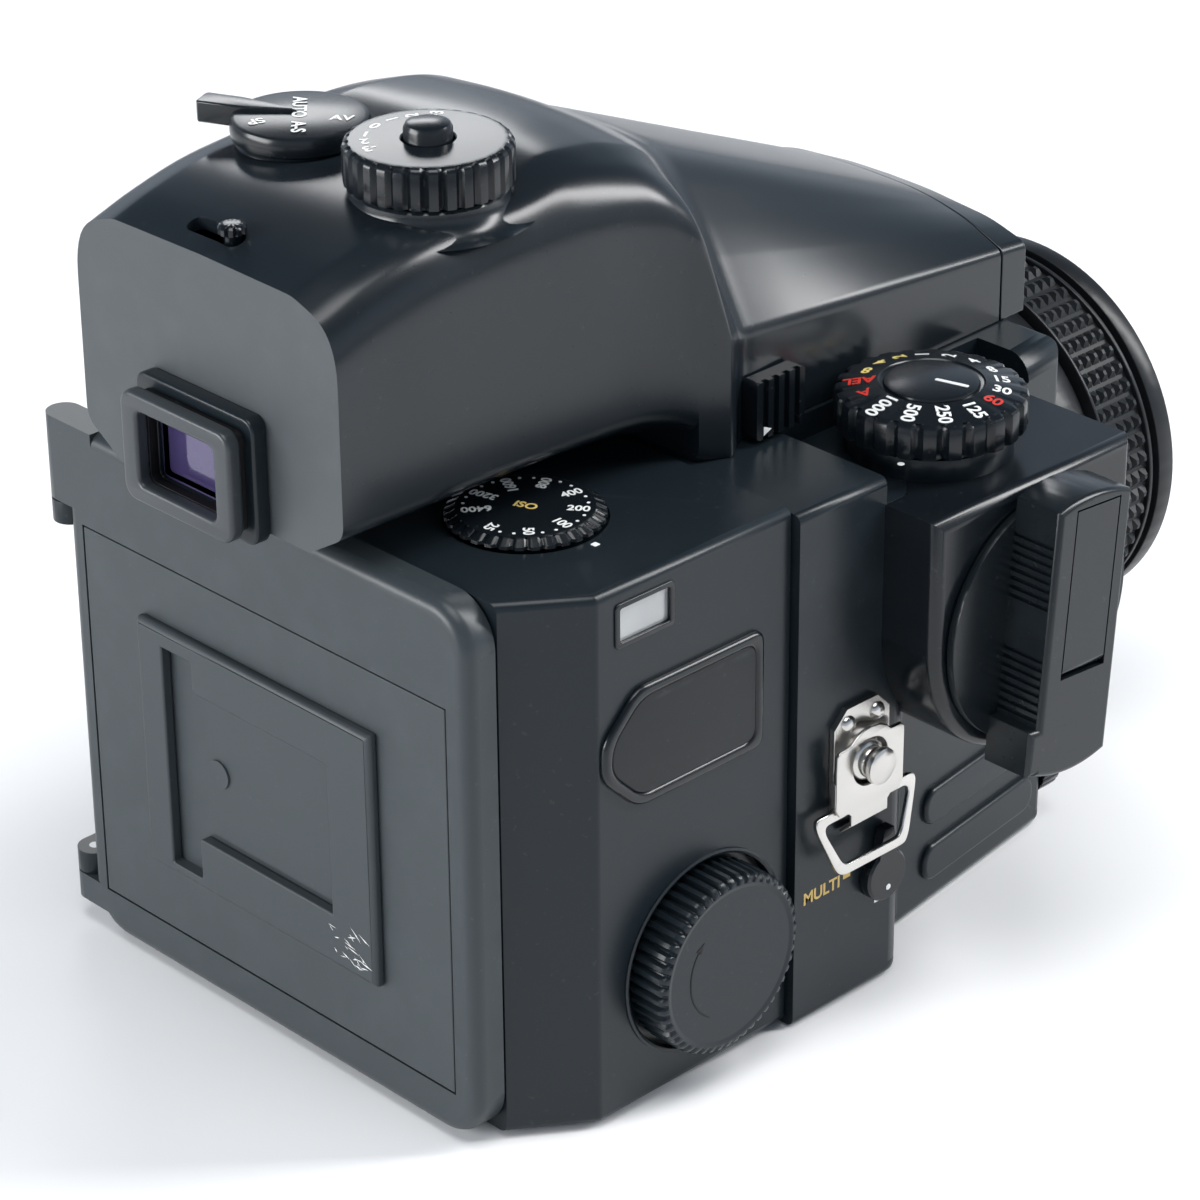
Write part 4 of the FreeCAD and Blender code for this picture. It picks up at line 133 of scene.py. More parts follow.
def build_wear_group():
    tree, given, out = new_group(
        "handling_wear",
        [("Base", "NodeSocketColor", (0.02, 0.02, 0.02, 1)), ("Worn", "NodeSocketColor", (0.1, 0.1, 0.1, 1)),
         ("Amount", "NodeSocketFloat", 0.3), ("Dust", "NodeSocketFloat", 0.02)],
        [("Color", "NodeSocketColor")])
    place = add(tree, "ShaderNodeTexCoord")
    shape = add(tree, "ShaderNodeNewGeometry")
    edge = add(tree, "ShaderNodeMapRange", [("Value", shape.outputs["Pointiness"])], From_Min=0.52,
               From_Max=0.62)
    cloud = add(tree, "ShaderNodeTexNoise", [("Vector", place.outputs["Object"])], Scale=140.0, Detail=5.0)
    patch = add(tree, "ShaderNodeMapRange", [("Value", cloud.outputs["Fac"])], From_Min=0.45, From_Max=0.7)
    both = add(tree, "ShaderNodeMath", [(0, edge.outputs[0]), (1, patch.outputs[0])], operation="MULTIPLY")
    mask = add(tree, "ShaderNodeMath", [(0, both.outputs[0]), (1, given.outputs["Amount"])],
               operation="MULTIPLY", use_clamp=True)
    worn = add(tree, "ShaderNodeMix", [(MIX_FACTOR, mask.outputs[0]), (MIX_FIRST, given.outputs["Base"]),
                                       (MIX_SECOND, given.outputs["Worn"])], data_type="RGBA")
    specks = add(tree, "ShaderNodeTexNoise", [("Vector", place.outputs["Object"])], Scale=900.0, Detail=2.0)
    speck = add(tree, "ShaderNodeMapRange", [("Value", specks.outputs["Fac"])], From_Min=0.68, From_Max=0.74)
    dusty = add(tree, "ShaderNodeMath", [(0, speck.outputs[0]), (1, given.outputs["Dust"])],
                operation="MULTIPLY")
    done = add(tree, "ShaderNodeMix", [(MIX_FACTOR, dusty.outputs[0]),
                                       (MIX_FIRST, worn.outputs[MIX_RESULT])], data_type="RGBA")
    done.inputs[MIX_SECOND].default_value = DUST_COLOUR
    tree.links.new(done.outputs[MIX_RESULT], out.inputs["Color"])
    return tree


wear_group = build_wear_group()
print("wear group nodes", len(wear_group.nodes))


# %% [markdown]
# ## Finishes
# Each real finish gets one material. The groups above feed colour, roughness and bump, and the shader's
# own sockets hold what is the same everywhere, such as metal or coat. The body's plastic has a satin
# surface that looks grey where it faces the light table and almost black on top, because that is what it
# reflects.

# %% Material maker
GRAIN_DEPTH = 0.00004


def finish(name, base, worn=None, roughness=0.35, sparkle=0.08, grain=2600.0, bump=0.1, wear=0.3, dust=0.02,
           **shader_values):
    material = bpy.data.materials.new(name)
    material.use_nodes = True
    tree = material.node_tree
    shader = tree.nodes["Principled BSDF"]
    wear_node = add(tree, "ShaderNodeGroup", node_tree=wear_group)
    wear_node.inputs["Base"].default_value = (*base, 1)
    wear_node.inputs["Worn"].default_value = (*(worn or [min(1, c * 3 + 0.03) for c in base]), 1)
    wear_node.inputs["Amount"].default_value = wear
    wear_node.inputs["Dust"].default_value = dust
    grain_node = add(tree, "ShaderNodeGroup", node_tree=grain_group)
    grain_node.inputs["Grain Size"].default_value = grain
    grain_node.inputs["Sparkle"].default_value = sparkle
    grain_node.inputs["Roughness"].default_value = roughness
    relief = add(tree, "ShaderNodeBump", [("Height", grain_node.outputs["Height"])], Strength=bump,
                 Distance=GRAIN_DEPTH)
    tree.links.new(wear_node.outputs["Color"], shader.inputs["Base Color"])
    tree.links.new(grain_node.outputs["Roughness"], shader.inputs["Roughness"])
    tree.links.new(relief.outputs["Normal"], shader.inputs["Normal"])
    for key, value in shader_values.items():
        shader.inputs[key.replace("_", " ")].default_value = value
    return material


print("a finish mixes", wear_group.name, "and", grain_group.name)


# %% [markdown]
# ## The camera's finishes
# The camera is black all over, yet its body, door, finder, dials and rubber differ in how dark and how
# glossy they are. They could share one material, but then the edges between them would vanish. One call
# for each keeps them side by side, so that they can be compared. A low specular level keeps the blacks
# black. The lighter blacks of the door, its panel and the finder's rear wall are painted light on faces
# that look back.

# %% The camera's finishes
DULL = 0.3
satin_black = finish("satin_black_shell", (0.009, 0.014, 0.018), roughness=0.27, sparkle=0.05, bump=0.1,
                     wear=0.1, Specular_IOR_Level=DULL)
finder_black = finish("finder_black", (0.008, 0.012, 0.0155), roughness=0.22, sparkle=0.02, bump=0.04,
                      wear=0.06, dust=0.01, Specular_IOR_Level=0.42)
gloss_black = finish("gloss_black_dial", (0.005, 0.0075, 0.010), roughness=0.2, sparkle=0.05, bump=0.04,
                     wear=0.15, Specular_IOR_Level=0.4)
crank_black = finish("crank_black", (0.008, 0.0115, 0.014), roughness=0.22, sparkle=0.05, bump=0.05,
                     wear=0.15, Specular_IOR_Level=0.35)
barrel_black = finish("barrel_black", (0.011, 0.0125, 0.0145), roughness=0.3, sparkle=0.05, bump=0.04,
                      Specular_IOR_Level=DULL)
# The door's black is lighter than the body's: painted light on the door, which faces back toward the rear
# lamp.
door_black_painted_light = finish("door_black_painted_light", (0.030, 0.038, 0.043), roughness=0.33, sparkle=0.05, bump=0.12, wear=0.1,
                    Specular_IOR_Level=0.35)
# A lighter black for the finder's rear wall: painted light on faces that look back.
rear_wall_lit_black = finish("rear_wall_painted_light", (0.052, 0.060, 0.065), roughness=0.45, sparkle=0.05, bump=0.15,
                    wear=0.05, dust=0.01, Specular_IOR_Level=0.35)
# The door panel and memo holder get a lighter black still: painted light on faces that look back.
panel_black_painted_light = finish("panel_black_painted_light", (0.038, 0.046, 0.051), roughness=0.42, sparkle=0.06, bump=0.15, wear=0.1,
                     Specular_IOR_Level=DULL)
grip_rubber = finish("grip_rubber", (0.011, 0.013, 0.015), roughness=0.42, sparkle=0.12, bump=0.22,
                     Specular_IOR_Level=DULL)
cup_rubber = finish("cup_rubber", (0.030, 0.036, 0.041), roughness=0.3, bump=0.12, Specular_IOR_Level=0.45)
well_black = finish("well_black", (0.005, 0.005, 0.006), roughness=0.5, bump=0.1, wear=0.0,
                    Specular_IOR_Level=DULL)
nickel = finish("nickel_plate", (0.60, 0.585, 0.56), worn=(0.36, 0.32, 0.26), roughness=0.16, sparkle=0.14,
                grain=900.0, bump=0.1, wear=0.5, Metallic=1.0)
steel = finish("brushed_steel", (0.45, 0.45, 0.46), roughness=0.3, sparkle=0.2, grain=1500.0, Metallic=1.0)
alloy = finish("machined_alloy", (0.5, 0.51, 0.53), roughness=0.35, Metallic=1.0)
white_paint = finish("white_figures", (0.78, 0.79, 0.78), roughness=0.5, bump=0.05, wear=0.15, dust=0.0)
gold_paint = finish("gold_figures", (0.62, 0.42, 0.12), roughness=0.45, bump=0.05, wear=0.15, dust=0.0)
red_paint = finish("red_figures", (0.55, 0.03, 0.02), roughness=0.45, bump=0.05, wear=0.15, dust=0.0)
yellow_paint = finish("yellow_figures", (0.75, 0.6, 0.2), roughness=0.45, bump=0.05, wear=0.15, dust=0.0)
mirror_silver = finish("mirror_silver", (0.9, 0.9, 0.9), roughness=0.02, sparkle=0.01, bump=0.0, wear=0.05,
                       Metallic=1.0)
print("finishes", len(bpy.data.materials))


# %% [markdown]
# ## Dressing the frame
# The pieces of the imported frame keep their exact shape. No real edge is perfectly sharp, though, and a
# sharp one stays dark. A weld closes the seams, and a small bevel modifier breaks each sharp edge, so
# that it catches a line of light as a moulded part does. Hardened normals keep the flats flat.

# %% Soften the edges
SEAM_GAP = 0.00001


def soften(piece, width, segments=2, angle=32):
    weld = piece.modifiers.new("close_seams", "WELD")
    weld.merge_threshold = SEAM_GAP
    bevel = piece.modifiers.new("broken_edges", "BEVEL")
    bevel.width = width * MM
    bevel.segments = segments
    bevel.limit_method = "ANGLE"
    bevel.angle_limit = math.radians(angle)
    bevel.use_clamp_overlap = True
    bevel.harden_normals = True


def dress(node, material, width):
    piece = nodes[node]
    piece.data.materials.clear()
    piece.data.materials.append(material)
    soften(piece, width)


print("packed pieces to dress", len(nodes))


# %% [markdown]
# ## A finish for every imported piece
# Inside the body are a cloth curtain, a ground screen, a silvered prism and plain spools, so four
# finishes are still missing. Then a table gives each piece its finish and the width of its edge in
# millimetres. It is easier to check than sixty calls, and a piece that it leaves out still gets the black
# of the lens.

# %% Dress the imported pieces
curtain_cloth = finish("curtain_cloth", (0.02, 0.02, 0.022), roughness=0.85, sparkle=0.1, grain=5200.0,
                       bump=0.4, wear=0.1)
screen_glass = finish("matt_screen", (0.62, 0.63, 0.6), roughness=0.55, sparkle=0.1, grain=6000.0, bump=0.3,
                      wear=0.05)
prism_glass = finish("silvered_prism", (0.78, 0.79, 0.82), roughness=0.08, sparkle=0.04, bump=0.02, wear=0.1,
                     Metallic=1.0)
spool_plastic = finish("spool_plastic", (0.03, 0.03, 0.032), roughness=0.45, sparkle=0.1, bump=0.1)
FINISH_OF_NODE = {
    "body_shell": (satin_black, 0.8), "base_plate": (satin_black, 0.6), "magazine_shell": (satin_black, 0.9),
    # The door, its panel, the memo holder and its spring take the lighter blacks that paint light on the
    # back.
    "rear_door": (door_black_painted_light, 0.4), "door_panel": (panel_black_painted_light, 0.2),
    "base_screws": (steel, 0.15), "tripod_bush": (alloy, 0.2), "lens_mount_ring": (nickel, 0.2),
    "hinge_pin": (steel, 0.1), "mirror": (mirror_silver, 0.1), "mirror_holder": (alloy, 0.2),
    "mirror_box": (well_black, 0.2), "pentaprism": (prism_glass, 0.3),
    "focusing_screen": (screen_glass, 0.1), "shutter_curtain": (curtain_cloth, 0.05),
    "shutter_frame": (alloy, 0.15), "iris_blades": (well_black, 0.05),
    "film_insert": (spool_plastic, 0.3), "film_rollers": (steel, 0.15), "pressure_plate": (alloy, 0.15),
    "supply_spool": (spool_plastic, 0.2), "take_up_spool": (spool_plastic, 0.2), "dark_slide": (steel, 0.1),
    "memo_holder": (panel_black_painted_light, 0.4), "memo_spring": (panel_black_painted_light, 0.15), "door_latch": (nickel, 0.1),
    "wind_knob": (gloss_black, 0.3), "iso_dial": (gloss_black, 0.3), "shutter_dial": (gloss_black, 0.3),
    "dial_cap": (nickel, 0.1), "crank_housing": (gloss_black, 0.4), "crank_disc": (crank_black, 0.3),
    "crank_arm": (crank_black, 0.5), "crank_handle": (crank_black, 0.5), "multi_lever": (gloss_black, 0.2),
    "finder_release": (gloss_black, 0.2), "shutter_release": (gloss_black, 0.2),
    "release_collar": (gloss_black, 0.2), "lens_release_button": (gloss_black, 0.2),
    "mode_dial": (gloss_black, 0.3), "compensation_knob": (gloss_black, 0.3),
    "compensation_button": (gloss_black, 0.3), "eyepiece_frame": (satin_black, 0.4),
    "eyecup": (cup_rubber, 0.6), "prism_shell": (finder_black, 0.5),
    "prism_front_frame": (finder_black, 0.4), "focus_ring": (barrel_black, 0.2),
    "focus_grip": (grip_rubber, 0.15), "front_barrel": (barrel_black, 0.2),
    "aperture_ring": (barrel_black, 0.2), "lens_barrel": (barrel_black, 0.2),
}
for node, piece in nodes.items():
    material, width = FINISH_OF_NODE.get(node, (barrel_black, 0.15))
    dress(node, material, width)
print("dressed", len(nodes), sorted(set(nodes) - set(FINISH_OF_NODE)))


# %% [markdown]
# ## Building helpers
# Most of what is added is turned, pressed or moulded, so four helpers make nearly all of it: a turned
# ring from its half section, a plate from its outline, a skin over slices, and printed figures. All four
# end in the one below, which takes corners in millimetres, sets the finish and says which body the piece
# rides on.

# %% Piece helper
SAME_CORNER = 0.000002


def piece_from(name, corners, faces, material, body, smooth_angle=35):
    """A mesh piece from corners in millimetres, shaded smooth except over sharp edges."""
    mesh = bpy.data.meshes.new(name)
    mesh.from_pydata([Vector(corner) * MM for corner in corners], [], faces)
    shape = bmesh.new()
    shape.from_mesh(mesh)
    bmesh.ops.remove_doubles(shape, verts=shape.verts, dist=SAME_CORNER)
    bmesh.ops.recalc_face_normals(shape, faces=shape.faces)
    for face in shape.faces:
        face.smooth = True
    for edge in shape.edges:
        edge.smooth = len(edge.link_faces) != 2 or edge.calc_face_angle(0) < math.radians(smooth_angle)
    shape.to_mesh(mesh)
    shape.free()
    mesh.materials.append(material)
    obj = bpy.data.objects.new(name, mesh)
    scene.collection.objects.link(obj)
    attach(obj, body)
    return obj


def frame_of(axis, centre=(0, 0, 0)):
    """Places a shape drawn round +Z so that it stands round another axis."""
    turns = {"+z": Matrix.Identity(4), "-z": Matrix.Rotation(math.pi, 4, "X"),
             "-x": Matrix.Rotation(-math.pi / 2, 4, "Y"), "+x": Matrix.Rotation(math.pi / 2, 4, "Y"),
             "-y": Matrix.Rotation(math.pi / 2, 4, "X"), "+y": Matrix.Rotation(-math.pi / 2, 4, "X")}
    return Matrix.Translation(Vector(centre)) @ turns[axis]


def moved(placed, corners):
    return [placed @ Vector(corner) for corner in corners]


print("piece helpers", piece_from.__name__, frame_of.__name__, moved.__name__)


# %% [markdown]
# ## Turned and fluted pieces
# Dials, knobs and rings are round, with flutes cut in their rims for the fingers. A Screw modifier could
# turn the section, but each flute would then need a cutter. Computed corners do both at once: every step
# round the axis pulls the marked points in by the depth that the flute has there.

# %% Turned and fluted pieces
STEPS_PER_FLUTE = 8


def turned(name, section, placed, material, body, flutes=0, depth=0.0, steps=96, share=0.5):
    """A piece turned from (radius, height) points. Points marked with a third value are fluted."""
    if flutes:
        steps = flutes * STEPS_PER_FLUTE
    corners, faces = [], []
    for step in range(steps):
        angle = 2 * math.pi * step / steps
        phase = (step % STEPS_PER_FLUTE) / STEPS_PER_FLUTE if flutes else 0
        groove = depth * max(0.0, math.sin(math.pi * min(1, phase / share))) if flutes else 0
        for point in section:
            radius = point[0] - (groove if len(point) > 2 else 0)
            corners.append((radius * math.cos(angle), radius * math.sin(angle), point[1]))
    count = len(section)
    for step in range(steps):
        here, there = step * count, ((step + 1) % steps) * count
        for index in range(count - 1):
            faces.append((here + index, here + index + 1, there + index + 1, there + index))
    return piece_from(name, moved(placed, corners), faces, material, body)


print("steps in a flute", STEPS_PER_FLUTE)


# %% [markdown]
# ## Plates
# Stampings and cast frames are flat outlines with windows and rounded rims. Cutting the windows with
# booleans would leave long thin faces. A flat curve fills itself round its holes and has its own bevel,
# so it is used as the drawing and turned into a mesh at once.

# %% Plates
def plate(name, outline, low, high, placed, material, body, bevel=0.2, holes=(), segments=3):
    """A plate from an outline and holes drawn in XY, between two heights, with rounded rims."""
    curve = bpy.data.curves.new(name, "CURVE")
    curve.dimensions = "2D"
    curve.fill_mode = "BOTH"
    curve.extrude = (high - low) / 2 - bevel
    curve.bevel_depth = bevel
    curve.bevel_resolution = segments
    curve.offset = -bevel
    for ring in [outline, *holes]:
        spline = curve.splines.new("POLY")
        spline.points.add(len(ring) - 1)
        spline.use_cyclic_u = True
        for point, (x, y) in zip(spline.points, ring):
            point.co = (x, y, 0, 1)
    carrier = bpy.data.objects.new(name, curve)
    scene.collection.objects.link(carrier)
    bpy.context.view_layer.update()
    drawn = bpy.data.meshes.new_from_object(carrier.evaluated_get(bpy.context.evaluated_depsgraph_get()))
    bpy.data.objects.remove(carrier)
    lift = placed @ Matrix.Translation((0, 0, (low + high) / 2))
    corners = [lift @ vertex.co for vertex in drawn.vertices]
    faces = [tuple(polygon.vertices) for polygon in drawn.polygons]
    bpy.data.meshes.remove(drawn)
    return piece_from(name, corners, faces, material, body, smooth_angle=50)


def soft_rectangle(width, height, radius, centre=(0, 0), steps=6):
    """Corner points of a rectangle with rounded corners."""
    points = []
    for turn, (sx, sy) in enumerate(((1, 1), (-1, 1), (-1, -1), (1, -1))):
        for step in range(steps + 1):
            angle = math.pi / 2 * (turn + step / steps)
            points.append((centre[0] + sx * (width / 2 - radius) + radius * math.cos(angle),
                           centre[1] + sy * (height / 2 - radius) + radius * math.sin(angle)))
    return points


print("corner points of a plate", len(soft_rectangle(10, 5, 1)))


# %% [markdown]
# ## Printed figures
# Figures on a dial are engraved and filled with paint. A picture of them would blur up close, and text
# objects stay sharp. All labels of one paint on one dial are joined in one thin piece, which is simpler
# to move with the dial than a dozen pieces.

# %% Printed figures
SIZE_OF_CAPITALS = 1.35
EXTRA_WEIGHT = 0.03


def figures(name, labels, material, body, thickness=0.05):
    """Printed text. Each label is (text, height, matrix in millimetres), all joined in one piece."""
    corners, faces = [], []
    for text, height, placed in labels:
        curve = bpy.data.curves.new(name, "FONT")
        curve.body = text
        curve.size = height * SIZE_OF_CAPITALS
        curve.align_x = "CENTER"
        curve.align_y = "CENTER"
        curve.extrude = thickness / 2
        curve.offset = height * EXTRA_WEIGHT
        carrier = bpy.data.objects.new(name, curve)
        scene.collection.objects.link(carrier)
        bpy.context.view_layer.update()
        drawn = bpy.data.meshes.new_from_object(carrier.evaluated_get(bpy.context.evaluated_depsgraph_get()))
        bpy.data.objects.remove(carrier)
        start = len(corners)
        corners += [placed @ vertex.co for vertex in drawn.vertices]
        faces += [tuple(start + index for index in polygon.vertices) for polygon in drawn.polygons]
        bpy.data.meshes.remove(drawn)
    return piece_from(name, corners, faces, material, body)


print("figures are thickened by", EXTRA_WEIGHT, "of their height")


# %% [markdown]
# ## Places for marks
# A mark lies flat on the side of the body, or reads outwards on a round dial. Three rotation angles are
# easy to get wrong there, so two helpers build the matrix from what is known: the side, or the angle on
# the dial. A dot needs no font, so it is a small prism.

# %% Places and dots
def on_side(x, y, z, tip=0):
    """Place on a side of the camera: local Z points out, Y up. Tip turns it within the side."""
    out = 1 if x > 0 else -1
    turn = Matrix(((0, 0, out, 0), (out, 0, 0, 0), (0, 1, 0, 0), (0, 0, 0, 1)))
    return Matrix.Translation((x, y, z)) @ turn @ Matrix.Rotation(math.radians(tip), 4, "Z")


def on_dial(centre, radius, degrees, height, slope=0.0):
    """Place for a label on a dial's top, reading outwards. Slope tips it down with a conical rim."""
    angle = math.radians(degrees)
    spot = Vector((centre[0] + radius * math.cos(angle), centre[1] + radius * math.sin(angle), height))
    tipped = Matrix.Rotation(math.radians(slope), 4, "Y")
    return Matrix.Translation(spot) @ Matrix.Rotation(angle, 4, "Z") @ tipped


def dots(name, places, radius, material, body, thickness=0.05, sides=12):
    """Round printed dots at the given places."""
    corners, faces = [], []
    for placed in places:
        start = len(corners)
        for height in (0, thickness):
            for side in range(sides):
                angle = 2 * math.pi * side / sides
                rim = Vector((radius * math.cos(angle), radius * math.sin(angle), height))
                corners.append(placed @ rim)
        faces.append(tuple(start + side for side in range(sides)))
        faces.append(tuple(start + sides + side for side in range(sides)))
        for side in range(sides):
            after = (side + 1) % sides
            faces.append((start + side, start + after, start + sides + after, start + sides + side))
    return piece_from(name, corners, faces, material, body)


print("place helpers", on_side.__name__, on_dial.__name__, dots.__name__)


# %% [markdown]
# ## Finder housing
# The housing is one moulding: a hood that rises from the lens, and behind it a tunnel that carries the
# eyepiece. Boxes with bevels would miss its slow curves, so it is a skin over slices. Corner lines run
# from front to back, and each slice rounds its corners by its own amount: sharp at the hood's crease,
# generous along the tunnel's crest. Straight lines would break up the highlight, so the lines are
# splines.

# %% Corner lines of the finder
# y, foot x, tuck, crest x, crest z, crest round, ridge x, ridge z, top z
FINDER_LINES = [
    (-46.0, 31.0, 0.0, 31.0, 106.0, 1.6, 15.0, 108.9, 109.6),
    (-30.0, 31.4, 0.0, 31.4, 107.2, 1.4, 15.5, 115.6, 116.4),
    (-8.0, 32.0, 0.0, 32.0, 109.0, 1.4, 16.0, 124.6, 125.5),
    (12.0, 32.4, 0.0, 32.4, 110.6, 1.4, 16.6, 132.8, 133.8),
    (22.0, 32.8, 0.0, 32.8, 111.6, 1.4, 17.0, 136.8, 138.0),
    (25.2, 32.9, 0.0, 33.0, 112.0, 1.5, 17.3, 138.0, 139.3),
    (27.6, 34.4, 0.0, 34.4, 112.8, 1.8, 17.8, 139.0, 140.5),
    (30.0, 36.0, 0.0, 36.0, 114.0, 2.2, 18.6, 140.0, 141.6),
    (32.0, 35.6, 0.4, 35.6, 122.0, 4.0, 20.0, 141.2, 142.8),
    (35.0, 34.6, 1.0, 34.6, 133.0, 5.0, 21.0, 143.0, 144.4),
    (39.0, 33.6, 4.0, 33.6, 139.2, 8.0, 21.0, 145.0, 146.2),
    (46.0, 32.6, 7.0, 32.6, 142.6, 9.5, 20.0, 147.0, 147.9),
    (57.0, 31.9, 8.0, 31.9, 144.2, 9.5, 20.0, 148.0, 148.6),
    (66.0, 31.4, 8.0, 31.4, 144.2, 9.5, 20.0, 146.4, 146.8),
    (76.0, 31.0, 8.0, 31.0, 143.4, 9.2, 20.0, 145.8, 146.2),
    (88.0, 30.7, 8.0, 30.7, 142.0, 9.0, 20.0, 145.0, 145.6),
    (98.0, 30.4, 8.0, 30.4, 139.6, 8.6, 20.0, 142.9, 143.4),
    (106.4, 30.3, 8.0, 30.3, 136.8, 8.4, 20.0, 140.2, 140.5),
]


def along_finder(y):
    """Catmull-Rom reading of every corner line at one y."""
    table = FINDER_LINES
    y = min(max(y, table[0][0]), table[-1][0])
    index = max(i for i in range(len(table) - 1) if table[i][0] <= y)
    rows = [table[max(0, min(len(table) - 1, index + shift))] for shift in (-1, 0, 1, 2)]
    span = rows[2][0] - rows[1][0]
    t = (y - rows[1][0]) / span
    values = []
    for column in range(1, len(rows[0])):
        before, here, after, beyond = (row[column] for row in rows)
        slope_here = (after - before) / max(rows[2][0] - rows[0][0], 0.01) * span
        slope_after = (beyond - here) / max(rows[3][0] - rows[1][0], 0.01) * span
        values.append((2 * t ** 3 - 3 * t ** 2 + 1) * here + (t ** 3 - 2 * t ** 2 + t) * slope_here
                      + (3 * t ** 2 - 2 * t ** 3) * after + (t ** 3 - t ** 2) * slope_after)
    return values


print("finder lines at y 50", [round(value, 1) for value in along_finder(50.0)])


# %% [markdown]
# ## One slice of the finder
# Each slice is half a section with eight corners, which are rounded and then mirrored. A bevel on the
# finished skin could round them too, but the roundness has to grow from the hood to the tunnel, and a
# slice can read its own from the table. Extra slices stand close together where the form turns quickly.

# %% One slice of the finder
SHARE_BEHIND, SHARE_AHEAD = 0.36, 0.62
HOOD_FLOOR, TUNNEL_FLOOR, FLOOR_STEP_Y = 93.5, 99.0, 36
EXTRA_SLICES = (27.5, 28.5, 29.2, 29.6, 30.0, 30.4, 30.8, 31.4, 35.99, 36.01)


def rounded_corners(points, rounds, steps=8):
    """Replaces each inner corner of a line by a quadratic curve that starts the given distance before it.

    A curve takes at most the given shares of the straight stretches behind and ahead of its corner."""
    line = [points[0]]
    for index in range(1, len(points) - 1):
        corner = Vector(points[index])
        back = Vector(points[index - 1]) - corner
        ahead = Vector(points[index + 1]) - corner
        reach_back = min(rounds[index], back.length * SHARE_BEHIND)
        reach_ahead = min(rounds[index], ahead.length * SHARE_AHEAD)
        start = corner + back.normalized() * reach_back
        end = corner + ahead.normalized() * reach_ahead
        for step in range(steps + 1):
            t = step / steps
            line.append(tuple(start * (1 - t) ** 2 + corner * 2 * t * (1 - t) + end * t ** 2))
    line.append(points[-1])
    return line


def finder_slice(y, inset=0.0):
    """Outline of the finder at one y, or of its hollow where the walls are inset."""
    foot, tuck, crest_x, crest_z, soft, ridge_x, ridge_z, top = along_finder(y)
    floor = HOOD_FLOOR if y < FLOOR_STEP_Y else TUNNEL_FLOOR
    share = 0.5 + 0.35 * min(1, max(0, (y - 32) / 6))
    middle_x = crest_x + (ridge_x - crest_x) * share
    middle_z = crest_z + (ridge_z - crest_z) * share + 1.6 * (1 - share)
    points = [(0, floor + inset), (foot - tuck - inset, floor + inset),
              (foot - inset, floor + 1 + tuck * 0.5), (crest_x - inset, crest_z - inset * 0.4),
              (middle_x - inset * 0.5, middle_z - inset), (ridge_x, ridge_z - inset),
              (9, top - 0.15 - inset), (0, top - inset)]
    rounds = [0, 0.4, 2.2, soft, 3.0, 5.0, 4.0, 0]
    half = rounded_corners(points, rounds)
    right = [(-x, z) for x, z in half]
    return half + right[-2:0:-1]


def finder_skin(name, start, end, inset, count=150):
    """A closed skin over slices from start to end, riding on the camera."""
    marks = sorted(set([start + (end - start) * i / count for i in range(count + 1)]
                       + [value for value in EXTRA_SLICES if start < value < end]))
    corners, faces = [], []
    for y in marks:
        corners += [(x, y, z) for x, z in finder_slice(y, inset)]
    size = len(finder_slice(start, inset))
    for index in range(len(marks) - 1):
        for side in range(size):
            after = (side + 1) % size
            faces.append((index * size + side, index * size + after,
                          (index + 1) * size + after, (index + 1) * size + side))
    faces.append(tuple(range(size)))
    faces.append(tuple((len(marks) - 1) * size + side for side in range(size)))
    return piece_from(name, corners, faces, finder_black, "camera", smooth_angle=30)


print("corner points of a slice", len(finder_slice(50.0)))


# %% [markdown]
# ## Cutting helper
# The housing is hollow, with a window for the eyepiece, an opening over the focusing screen and a slot
# for the blind lever. Booleans are the plain way to cut them. They are applied at once and the cutters
# deleted, because a cutter left in the scene would be one more piece.

# %% Cutting helper
def cut_away(obj, *cutters):
    """Cuts closed shapes out of a piece for good and removes the cutters."""
    for cutter in cutters:
        step = obj.modifiers.new("cut", "BOOLEAN")
        step.operation = "DIFFERENCE"
        step.solver = "EXACT"
        step.object = cutter
    bpy.context.view_layer.update()
    cut = bpy.data.meshes.new_from_object(obj.evaluated_get(bpy.context.evaluated_depsgraph_get()))
    obj.modifiers.clear()
    obj.data = cut
    for cutter in cutters:
        bpy.data.objects.remove(cutter)
    return obj


def cutter_box(low, high):
    corners = [(x, y, z) for x in (low[0], high[0]) for y in (low[1], high[1]) for z in (low[2], high[2])]
    faces = [(0, 1, 3, 2), (4, 6, 7, 5), (0, 4, 5, 1), (2, 3, 7, 6), (0, 2, 6, 4), (1, 5, 7, 3)]
    return piece_from("cutter", corners, faces, finder_black, "camera")


print("cutting helpers", cut_away.__name__, cutter_box.__name__)


# %% [markdown]
# ## Housing and front rim
# The front rim is a part of its own, set against the housing with a hair line between them. Both could be
# one skin with a groove, but two pieces give a true joint. The rear wall looks duller and lighter than the
# rest, so its faces get a second, matt finish whose lighter base is painted light falling on the back.

# %% Build the finder housing
RIM_START, RIM_END, HOUSING_START, HOUSING_END = -46.0, -39.7, -39.3, 106.4
WALL = 2.0
BLIND_SLOT_CENTRE = (1.8, 101.6)
REAR_WALL_FROM, FACING_BACK = 0.1063, 0.9


def round_rim(obj, width):
    bevel = obj.modifiers.new("rounded_rim", "BEVEL")
    bevel.width = width * MM
    bevel.segments = 4
    bevel.limit_method = "ANGLE"
    bevel.angle_limit = math.radians(50)
    bevel.harden_normals = True


finder = finder_skin("finder_housing", HOUSING_START, HOUSING_END, 0.0)
hollow = finder_skin("finder_hollow", -37.0, 104.4, WALL, count=60)
eyepiece_window = cutter_box((-9.2, 100, 101.7), (9.2, 110, 114.3))
screen_opening = cutter_box((-26, -36, 90), (26, 34, 97))
blind_slot = plate("cutter", soft_rectangle(12.0, 3.2, 1.55, BLIND_SLOT_CENTRE), 130, 150, frame_of("+z"),
                   finder_black, "camera", bevel=0.0)
cut_away(finder, hollow, eyepiece_window, screen_opening, blind_slot)
